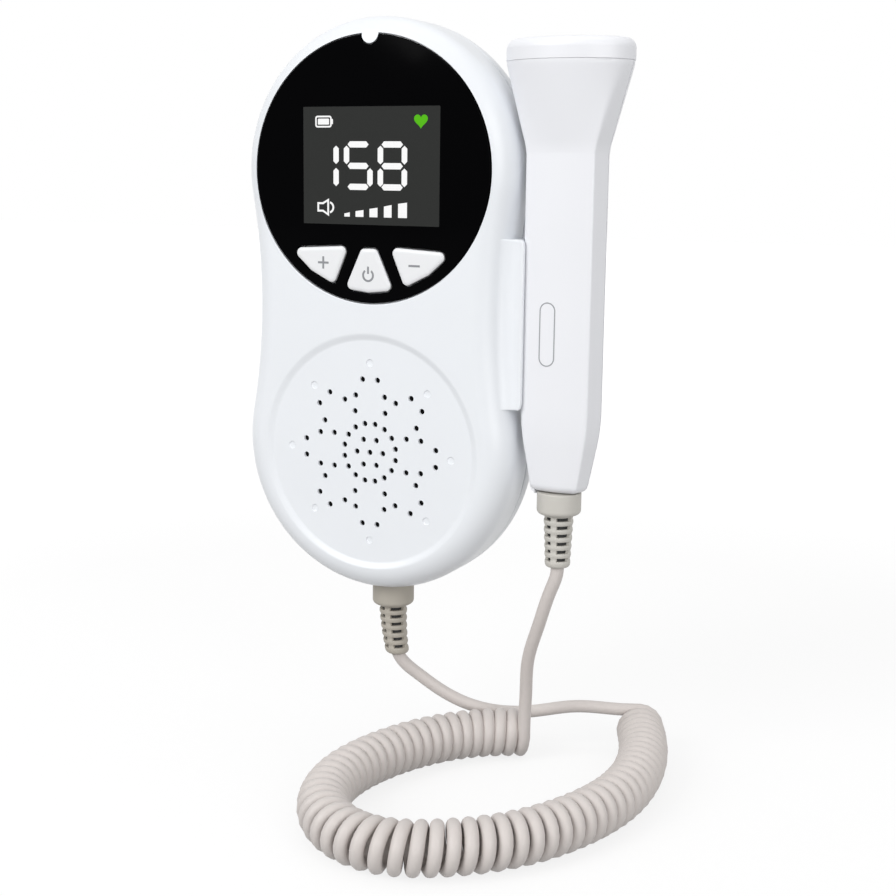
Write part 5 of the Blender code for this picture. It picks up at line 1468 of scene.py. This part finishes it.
def pad_grid(housing, probe):
    """The rail's pad, one section for each height. Its front leaves the housing's round edge in a hollow fillet: a
    circle that touches the housing's front rounding from outside and the sloping line to the lip's tip. The fillet's
    centre lies the fillet's radius in front of that line and both radii from the rounding's centre. The lip's end
    draws back by a quarter of an ellipse near the pad's top and foot."""
    foot, top = probe.rail_top_z - probe.rail_length, probe.rail_top_z
    round_off = quarter_round(probe.pad_round, probe.pad_round, 6)
    low = np.column_stack([round_off[::-1, 0], foot + probe.pad_round - round_off[::-1, 1]])
    high = np.column_stack([round_off[:, 0], top - probe.pad_round + round_off[:, 1]])
    middle = np.linspace(foot + probe.pad_round, top - probe.pad_round, 41)[1:-1]
    rows = np.vstack([low, np.column_stack([np.zeros(len(middle)), middle]), high])
    inset, z = rows.T
    near_end = np.clip(1 - np.minimum(z - foot, top - z) / (4 * probe.pad_round), 0, 1)
    draw = 1.4 * probe.pad_round * (1 - np.sqrt(1 - near_end**2))

    waist_x, waist_z = waist_centre(housing)
    side_x = waist_x - np.sqrt(housing.waist_radius**2 - (z - waist_z) ** 2)
    sunk = housing.front_round - PAD_SUNK
    centre = np.column_stack([side_x - housing.front_round, np.full(len(z), -housing.depth + housing.front_round)])
    slope = probe.hook_slope
    on = np.array([math.cos(slope), -math.sin(slope)])
    out = np.array([-math.sin(slope), -math.cos(slope)])
    left = probe.x - probe.half_width
    tip = np.column_stack(
        [left + probe.hook_reach - inset - draw, probe.y - probe.half_depth - probe.hook_proud + inset + 0 * z]
    )
    offset = tip + probe.pad_fillet * out - centre
    along = offset @ on
    back = along + np.sqrt(along**2 - (offset**2).sum(axis=1) + (sunk + probe.pad_fillet) ** 2) * -1
    hollow = tip + probe.pad_fillet * out - back[:, None] * on
    to_housing = centre - hollow
    first = np.arctan2(to_housing[:, 1], to_housing[:, 0])
    last = math.atan2(-out[1], -out[0])
    turn = first[:, None] + (last - first)[:, None] * np.linspace(0, 1, 15)
    fillet = hollow[:, None] + probe.pad_fillet * np.stack([np.cos(turn), np.sin(turn)], axis=-1)
    u = np.linspace(0, 1, 7)[None, :, None]
    soft = probe.pad_round
    corner = (
        (1 - u) ** 2 * (tip - soft * on)[:, None] + 2 * u * (1 - u) * tip[:, None] + u**2 * (tip + (0, soft))[:, None]
    )
    rear = probe.y + probe.pad_half_depth - inset
    bite = housing.wall / 2
    inside = centre + (fillet[:, 0] - centre) * (1 - bite / housing.front_round)
    deep = side_x - bite
    far = [np.column_stack([x, y]) for x, y in ((tip[:, 0], rear), (deep, rear), (deep, centre[:, 1]))]
    far = np.stack([*far, inside], axis=1)
    return upright(np.concatenate([fillet, corner, far], axis=1), z)


class DOPPLER_OT_rail(bpy.types.Operator):
    """Pad and rail on the unit's side"""

    bl_idname = "doppler.rail"
    bl_label = "Probe rail"

    def execute(self, context):
        settings = context.scene.doppler
        housing, probe = settings.housing, settings.probe
        fit = housing.fit
        foot, top = probe.rail_top_z - probe.rail_length, probe.rail_top_z
        rail = shape("rail_pad", pad_grid(housing, probe))
        handle = section([0.0, 0.0]) * (probe.half_width + fit, probe.half_depth + fit) + (probe.x, probe.y)
        room = upright(handle, [foot - fit, top + fit])
        left = probe.x - probe.half_width
        head_x = left + probe.lip + fit
        stem, head = probe.stem / 2, probe.head / 2
        end = head_x + probe.head_thickness
        t = np.array([(left - 5 * fit, -stem), (head_x, -stem), (head_x, -head), (end, -head)])
        t = np.vstack([t, t[::-1] * (1, -1)]) + (0, probe.y)
        carve(rail, "DIFFERENCE", solid("handle_room", room))
        carve(rail, "UNION", solid("rail", upright([t, t], [foot, top - fit])))
        dress(rail, "main_unit", housing_white(), ["probe_rail"])
        return {"FINISHED"}


# Strain reliefs and cord


def strain_relief(name, cord, fit, foot, wall, collar, lean):
    """A strain relief under a foot's (x, y, z), and a black sleeve round the cord inside it: painted shade that darkens
    the slots. The relief is a turned collar and tapering tail, whose ribs swell by a cosine between six rows of slots
    in its four quarters. Both lean aside with the square of the way down the tail."""
    collar_foot = -fit - collar
    end = collar_foot - cord.tail_length
    pitch = cord.tail_length / TAIL_PITCHES
    edge = quarter_round(cord.collar_round, cord.collar_round, 7)
    upper = quarter_round(COLLAR_TOP_ROUND, COLLAR_TOP_ROUND, 3)
    tip = quarter_round(TAIL_END_ROUND, TAIL_END_ROUND, 6)
    down = np.linspace(0.0, cord.tail_length - TAIL_END_ROUND, 61)
    swell = 0.5 - 0.5 * np.cos(2 * math.pi * (down / pitch - SLOT_START - SLOT_HEIGHT / 2))
    taper = (cord.tail_end_radius - cord.tail_top_radius) * down / cord.tail_length
    tail = np.column_stack([cord.tail_top_radius + taper + cord.rib_swell * swell, collar_foot - down])
    flange = cord.neck_radius + FLANGE_WIDTH
    profile = np.vstack(
        [
            [(flange, wall + 3 * fit), (flange, wall + 2 * fit)],
            [(cord.neck_radius, wall + 2 * fit), (cord.neck_radius, -fit)],
            np.column_stack([cord.collar_radius - upper[::-1, 0], -fit - COLLAR_TOP_ROUND + upper[::-1, 1]]),
            np.column_stack([cord.collar_radius - edge[:, 0], collar_foot + cord.collar_round - edge[:, 1]]),
            tail,
            np.column_stack([tail[-1, 0] - tip[1:, 0], end + TAIL_END_ROUND - tip[1:, 1]]),
        ]
    )
    boot = shape(name, turned(profile, foot, 64, axis="z"))
    rows = []
    for k in range(SLOT_ROWS):
        top = collar_foot - pitch * (k + SLOT_START)
        slot = [(cord.collar_radius, top), (cord.collar_radius, top - SLOT_HEIGHT * pitch)]
        rows.append(turned(slot, foot, 64, axis="z"))
    slots = shape("slots", *rows)
    reach, half = cord.collar_radius + OVERRUN, cord.web / 2
    webs = [
        box(np.add(foot, (-a, -b, end - OVERRUN)), np.add(foot, (a, b, 0.0))) for a, b in ((reach, half), (half, reach))
    ]
    carve(slots, "DIFFERENCE", solid("web_x", webs[0]), solid("web_y", webs[1]))
    heights = np.linspace(collar_foot, end + cord.collar_round, 24)
    radii = cord.tail_end_radius + (cord.tail_top_radius - cord.tail_end_radius) * (heights - end) / cord.tail_length
    bore = np.column_stack([radii - cord.slot_depth, heights])
    carve(boot, "DIFFERENCE", slots.data, solid("bore", turned(bore, foot, 48, axis="z")))
    bpy.data.objects.remove(slots, do_unlink=True)
    # Black sleeve just inside the slots' floor: painted shade that darkens the slots
    skin = bore - (fit / 20, 0.0)
    sleeve = shape(f"{name}_sleeve", turned(skin, foot, 48, axis="z"))
    for part in (boot, sleeve):
        spots = np.empty(len(part.data.vertices) * 3)
        part.data.vertices.foreach_get("co", spots)
        spots = spots.reshape(-1, 3)
        share = np.clip((foot[2] + collar_foot - spots[:, 2]) / cord.tail_length, 0.0, None)
        spots[:, 0] += lean * share**2
        part.data.vertices.foreach_set("co", spots.ravel())
    return boot, sleeve


def rubber(name, rgb):
    """Moulded soft PVC: matt, with a fine even grain and faint clouds where it was gated."""
    return moulded(name, rgb, 0.55, grain_mm=0.25, relief_mm=0.008, cloud_mm=6.0, tint=0.93)


class DOPPLER_OT_strain_reliefs(bpy.types.Operator):
    """Slotted strain reliefs under the unit and under the probe"""

    bl_idname = "doppler.strain_reliefs"
    bl_label = "Strain reliefs"

    def execute(self, context):
        settings = context.scene.doppler
        housing, probe, cord, colours = settings.housing, settings.probe, settings.cord, settings.colours
        unit_foot = (0.0, -housing.depth / 2, -housing.spacing - housing.lower_radius)
        probe_foot = (probe.x, probe.y, probe.foot_z)
        # The black sleeve inside each relief is painted shade in its slots
        dark = rubber("black inner sleeve", linear("#121212"))
        for name, foot, wall, collar, lean, body, finish in (
            ("relief_unit", unit_foot, housing.wall, cord.unit_collar_height, cord.lean, "main_unit", "relief_unit"),
            ("relief_probe", probe_foot, probe.wall, cord.collar_height, 0.0, "probe", "relief"),
        ):
            finish = getattr(colours, finish)
            boot, sleeve = strain_relief(name, cord, housing.fit, foot, wall, collar, lean)
            node = "boot_body" if body == "main_unit" else "boot_probe"
            dress(boot, body, rubber(f"moulded soft PVC, {body}", finish), [node])
            dress(sleeve, body, dark)
        return {"FINISHED"}


def cord_line(cord, probe_exit, unit_exit, per_curl=18):
    """The cord's centreline from the probe to the unit, with a side vector for each point. The curls are circles
    round the coil's axis, carried along it: their phase runs evenly but for a slow swell that crowds them at the
    rear. The free stretches are splines that leave the curls and the strain reliefs straight."""
    turns = cord.turns + 0.75
    count = round(turns * per_curl) + 1
    centres = spline(np.column_stack([COIL_ROUTE, np.full(len(COIL_ROUTE), cord.axis_z)]), count)
    headings = unit(np.gradient(centres, axis=0))
    share = np.linspace(0.0, 1.0, count)
    phase = share + cord.crowding / (2 * math.pi) * np.sin(2 * math.pi * share)
    phase = math.pi / 2 + 2 * math.pi * turns * phase[:, None]
    left = np.column_stack([-headings[:, 1], headings[:, 0], np.zeros(count)])
    spoke = UP * np.cos(phase) + left * np.sin(phase)
    curls = centres + cord.curl_radius * spoke
    lead = cord.diameter
    start = curls[0] + UP * lead
    end = curls[-1] + left[-1] * lead
    first = np.array(probe_exit)
    last = np.array(unit_exit[0])
    away = unit(np.array(unit_exit[1]))
    down = spline([first - UP * 0.2 * lead, *PROBE_TAIL_ROUTE, start], 60, -UP, -UP)
    back = spline([end, *UNIT_TAIL_ROUTE, last + away * 0.2 * lead], 80, left[-1], -away)
    share = np.linspace(0.0, 1.0, len(back))[:, None]
    swing = UP * (1 - share) - left[-1] * share
    line = np.vstack([first, down, curls, back, last])
    sides = np.vstack([left[:1], np.repeat(left[:1], len(down), axis=0), spoke, swing, swing[-1:]])
    return line, sides


class DOPPLER_OT_cord(bpy.types.Operator):
    """Curly cord from the unit's strain relief to the probe's"""

    bl_idname = "doppler.cord"
    bl_label = "Curly cord"

    def execute(self, context):
        settings = context.scene.doppler
        housing, probe, cord = settings.housing, settings.probe, settings.cord
        drop = housing.fit + cord.tail_length
        foot = -housing.spacing - housing.lower_radius
        probe_exit = np.array([probe.x, probe.y, probe.foot_z - drop - cord.collar_height])
        unit_end = np.array([cord.lean, -housing.depth / 2, foot - drop - cord.unit_collar_height])
        away = np.array([4 * cord.lean / cord.tail_length, 0.25, -1.0])
        line, sides = cord_line(cord, probe_exit, (unit_end, away))
        line, sides = line[::-1], sides[::-1]
        heading = unit(np.gradient(line, axis=0))
        across = unit(sides - (sides * heading).sum(axis=1, keepdims=True) * heading)
        other = np.cross(heading, across)
        around = 16
        turn = 2 * math.pi * np.arange(around) / around
        ring = across[:, None] * np.cos(turn)[:, None] + other[:, None] * np.sin(turn)[:, None]
        grid = line[:, None] + cord.diameter / 2 * ring
        mesh = solid("cord_curly", grid)
        run = np.concatenate([[0.0], np.cumsum(np.linalg.norm(np.diff(line, axis=0), axis=1))])
        follow_grid(mesh, "along", len(line), around, run / (math.pi * cord.diameter))
        curly = place("cord_curly", mesh)
        nodes = ["cord_coil", "cord_tail_probe", "cord_tail_body"]
        finish = jacket("extruded polyurethane", settings.colours.cord, "along")
        dress(curly, None, finish, nodes, crease=60)
        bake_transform(curly)
        print(f"cord {run[-1]:.3f} m")
        return {"FINISHED"}


def follow_grid(mesh, name, rows, columns, run):
    """A UV map over a tube: once round its girth across, and its run along. The two end faces get one point each."""
    count = (rows - 1) * columns
    row, column = np.divmod(np.arange(count), columns)
    corners = np.stack([row, row, row + 1, row + 1], axis=-1)
    sides = np.stack([column, column + 1, column + 1, column], axis=-1) / columns
    layer = mesh.uv_layers.new(name=name)
    uv = np.zeros((len(mesh.loops), 2))
    corner_run = run[corners]
    first = mesh.polygons[0].vertices[0]
    if first != 0:
        corner_run, sides = corner_run[:, ::-1], sides[:, ::-1]
    uv[: 4 * count, 0] = sides.ravel()
    uv[: 4 * count, 1] = corner_run.ravel()
    layer.data.foreach_set("uv", uv.ravel())


# Pieces inside: their CAD shapes stay, with real finishes


class DOPPLER_OT_inside(bpy.types.Operator):
    """Finishes of the pieces inside, whose own shapes stay"""

    bl_idname = "doppler.inside"
    bl_label = "Inside"

    def execute(self, context):
        steel = plated_steel()
        black = moulded("black switch nylon", linear("#242527"), 0.5)
        finishes = {
            "lcd_module": moulded("display housing", linear("#3A3D3A"), 0.35),
            "main_board": solder_mask("green solder mask"),
            "speaker_frame": steel,
            "speaker_magnet": steel,
            "speaker_cone": pressed_paper("black coated paper"),
            "battery_tray": housing_white(),
            "contact_top": steel,
            "contact_bottom": steel,
            "slot_channel": probe_white(),
            "crystal_send": pressed_ceramic("fired ceramic"),
            "crystal_backing": moulded("cast grey resin", linear("#56585C"), 0.8, grain_mm=0.8, relief_mm=0.02),
        }
        for kind in KINDS:
            finishes[f"plunger_{kind}"] = black
            finishes[f"switch_{kind}"] = steel
        for node, same in (("probe_board", "main_board"), ("crystal_receive", "crystal_send")):
            finishes[node] = finishes[same]
        for node, finish in finishes.items():
            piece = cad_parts[node]
            for slot in piece.material_slots:
                slot.material = finish
        return {"FINISHED"}


def solder_mask(name):
    """Green solder mask over copper: a glossy lacquer, lighter where tracks a millimetre apart run under it."""
    material, tree, shader, where = begin(name)
    greens = zip(("Color1", "Color2", "Mortar"), ("#1E6B3C", "#17562F", "#2F8A52"))
    lacquer = {socket: rgba(linear(code)) for socket, code in greens}
    tracks = add(tree, "TexBrick", {"Vector": where, **lacquer, "Scale": 400.0, "Mortar Size": 0.04})
    look = {
        "Base Color": tracks.outputs["Color"],
        "Roughness": 0.3,
    }
    feed(tree, shader, look)
    return material


def pressed_paper(name):
    """Coated loudspeaker paper: near black, with felted fibres a fraction of a millimetre across."""
    material, tree, shader, where = begin(name)
    fibres = add(tree, "TexNoise", {"Vector": where, "Scale": 2500.0, "Detail": 5.0})
    blacks = {"Factor": fibres.outputs["Fac"], "A": rgba(linear("#101011")), "B": rgba(linear("#262628"))}
    shade = add(tree, "Mix", blacks, data_type="RGBA")
    bump = add(tree, "Bump", {"Height": fibres.outputs["Fac"], "Strength": 0.5, "Distance": 0.00005})
    look = {
        "Base Color": shade.outputs["Result"],
        "Normal": bump.outputs["Normal"],
        "Roughness": 0.85,
    }
    feed(tree, shader, look)
    return material


def printed_sleeve(name):
    """A cell's shrink sleeve: dark print with a copper band towards one end, on a glossy film."""
    material, tree, shader, where = begin(name)
    parts = add(tree, "SeparateXYZ", {"Vector": where})
    low, high = PRINT_ENDS
    height = add(tree, "MapRange", {"Value": parts.outputs["Z"], "From Min": low, "From Max": high})
    band = add(tree, "ValToRGB", {"Fac": height.outputs["Result"]})
    ramp = band.color_ramp
    ramp.interpolation = "CONSTANT"
    ramp.elements[0].position, ramp.elements[0].color = 0.0, rgba(linear("#B9BBBE"))
    ramp.elements[1].position, ramp.elements[1].color = 0.02, rgba(linear("#2A2E36"))
    for position, code in ((0.68, "#B5793F"), (0.975, "#B9BBBE")):
        ramp.elements.new(position).color = rgba(linear(code))
    look = {
        "Base Color": band.outputs["Color"],
        "Roughness": 0.28,
        "Metallic": 0.4,
    }
    feed(tree, shader, look)
    return material


def pressed_ceramic(name):
    """Fired and ground ceramic: pale cream and matt, with a faint mottle."""
    return moulded(name, linear("#E3DCC4"), 0.6, grain_mm=0.5, relief_mm=0.01, cloud_mm=2.0, tint=0.9)


# Stage


class DOPPLER_OT_stage(bpy.types.Operator):
    """Camera, floor, backdrop and soft light"""

    bl_idname = "doppler.stage"
    bl_label = "Stage"

    def execute(self, context):
        scene = context.scene
        stage = scene.doppler.stage
        yaw, pitch, roll = stage.yaw, stage.pitch, stage.roll
        forward = np.array([-math.sin(yaw) * math.cos(pitch), math.cos(yaw) * math.cos(pitch), -math.sin(pitch)])
        right = np.array([math.cos(yaw), math.sin(yaw), 0.0])
        up = np.cross(right, forward)
        right, up = math.cos(roll) * right + math.sin(roll) * up, math.cos(roll) * up - math.sin(roll) * right
        lens = bpy.data.cameras.new("photo view")
        lens.sensor_width = 36.0
        lens.lens = stage.lens
        lens.clip_start, lens.clip_end = 0.01, 20.0
        camera = bpy.data.objects.new("camera", lens)
        scene.collection.objects.link(camera)
        matrix = np.eye(4)
        matrix[:3, 0], matrix[:3, 1], matrix[:3, 2], matrix[:3, 3] = right, up, -forward, stage.eye
        camera.matrix_world = Matrix(matrix)
        scene.camera = camera
        scene.view_settings.view_transform = "Standard"

        corners = np.array([(-3, -3), (3, -3), (3, 3), (-3, 3)])
        floor = shape("floor", upright([corners, corners], [stage.floor_z - 0.01, stage.floor_z]))
        floor.data.materials.append(pale_floor("matt white sheet"))

        for name, spot, aim, size, power in LAMPS:
            lamp = bpy.data.lights.new(name, "AREA")
            lamp.shape = "SQUARE"
            lamp.size = size
            lamp.energy = power
            holder = bpy.data.objects.new(name, lamp)
            holder.matrix_world = looking(spot, aim)
            scene.collection.objects.link(holder)

        world = bpy.data.worlds.new("studio")
        world.use_nodes = True
        tree = world.node_tree
        tree.nodes.clear()
        path = add(tree, "LightPath")
        rays = {0: path.outputs["Is Camera Ray"], 1: path.outputs["Is Glossy Ray"]}
        seen = add(tree, "Math", rays, operation="MAXIMUM")
        through = add(tree, "Math", {0: seen.outputs[0], 1: path.outputs["Is Transmission Ray"]}, operation="MAXIMUM")
        level = add(tree, "MapRange", {"Value": through.outputs[0], "To Min": SURROUNDINGS, "To Max": 1.0})
        shine = add(tree, "Background", {"Color": (1, 1, 1, 1), "Strength": level.outputs["Result"]})
        add(tree, "OutputWorld", {"Surface": shine.outputs["Background"]})
        scene.world = world
        return {"FINISHED"}


def looking(spot, aim):
    """A lamp's place and turn, so that its face looks at a point."""
    back = unit(np.array(spot) - np.array(aim))
    across = unit(np.cross((0.0, 1.0, 0.001), back))
    matrix = np.eye(4)
    matrix[:3, 0], matrix[:3, 1], matrix[:3, 2], matrix[:3, 3] = across, np.cross(back, across), back, spot
    return Matrix(matrix)


def pale_floor(name):
    """Grey paper that takes the soft shadow. The camera sees it lifted to white, and more so away from the object.
    It throws a little light up at the object, as a lit table does."""
    material, tree, shader, where = begin(name)
    tooth = add(tree, "TexNoise", {"Vector": where, "Scale": 400.0, "Detail": 3.0})
    greys = {"Factor": tooth.outputs["Fac"], "A": rgba(linear("#7C7C7C")), "B": rgba(linear("#808080"))}
    shade = add(tree, "Mix", greys, data_type="RGBA")
    reach = add(tree, "VectorMath", {"Vector": where}, operation="LENGTH")
    fade = {"From Min": 0.25, "From Max": 1.2, "To Min": 0.8, "To Max": 1.1}
    lift = add(tree, "MapRange", {"Value": reach.outputs["Value"], **fade})
    path = add(tree, "LightPath")
    rays = {0: path.outputs["Is Camera Ray"], 1: path.outputs["Is Glossy Ray"]}
    seen = add(tree, "Math", rays, operation="MAXIMUM")
    shown = add(tree, "Math", {0: seen.outputs[0], 1: lift.outputs["Result"]}, operation="MULTIPLY")
    glow = add(tree, "Math", {0: shown.outputs[0], 1: FLOOR_GLOW}, operation="MAXIMUM")
    look = {
        "Base Color": shade.outputs["Result"],
        "Emission Strength": glow.outputs[0],
        "Emission Color": (1, 1, 1, 1),
        "Roughness": 0.9,
        "Specular IOR Level": 0.1,
    }
    feed(tree, shader, look)
    return material


class DOPPLER_PT_panel(bpy.types.Panel):
    """The doppler's sizes and the buttons that make its pieces"""

    bl_label = "Pocket doppler"
    bl_idname = "DOPPLER_PT_panel"
    bl_space_type = "VIEW_3D"
    bl_region_type = "UI"
    bl_category = "Doppler"

    def draw(self, context):
        settings = context.scene.doppler
        for operator in OPERATORS:
            self.layout.operator(operator.bl_idname)
        for name, group in GROUPS.items():
            box_layout = self.layout.box()
            box_layout.label(text=group.__doc__)
            for key in group.__annotations__:
                box_layout.prop(getattr(settings, name), key)


OPERATORS = (
    DOPPLER_OT_stage,
    DOPPLER_OT_cord,
    DOPPLER_OT_strain_reliefs,
    DOPPLER_OT_front_cover,
    DOPPLER_OT_rear_cover,
    DOPPLER_OT_window,
    DOPPLER_OT_display,
    DOPPLER_OT_keys,
    DOPPLER_OT_battery_door,
    DOPPLER_OT_screws,
    DOPPLER_OT_cells,
    DOPPLER_OT_probe_shells,
    DOPPLER_OT_probe_cap,
    DOPPLER_OT_probe_mark,
    DOPPLER_OT_rail,
    DOPPLER_OT_inside,
)
CLASSES = (*GROUPS.values(), DopplerSettings, *OPERATORS, DOPPLER_PT_panel)


def register():
    """Make the sizes, operators and panel known to Blender."""
    for item in CLASSES:
        bpy.utils.register_class(item)
    bpy.types.Scene.doppler = bpy.props.PointerProperty(type=DopplerSettings)


def unregister():
    """Take them away again, last first."""
    del bpy.types.Scene.doppler
    for item in reversed(CLASSES):
        bpy.utils.unregister_class(item)


def main():
    register()
    for operator in OPERATORS:
        group, name = operator.bl_idname.split(".")
        getattr(getattr(bpy.ops, group), name)()


if __name__ == "__main__":
    main()
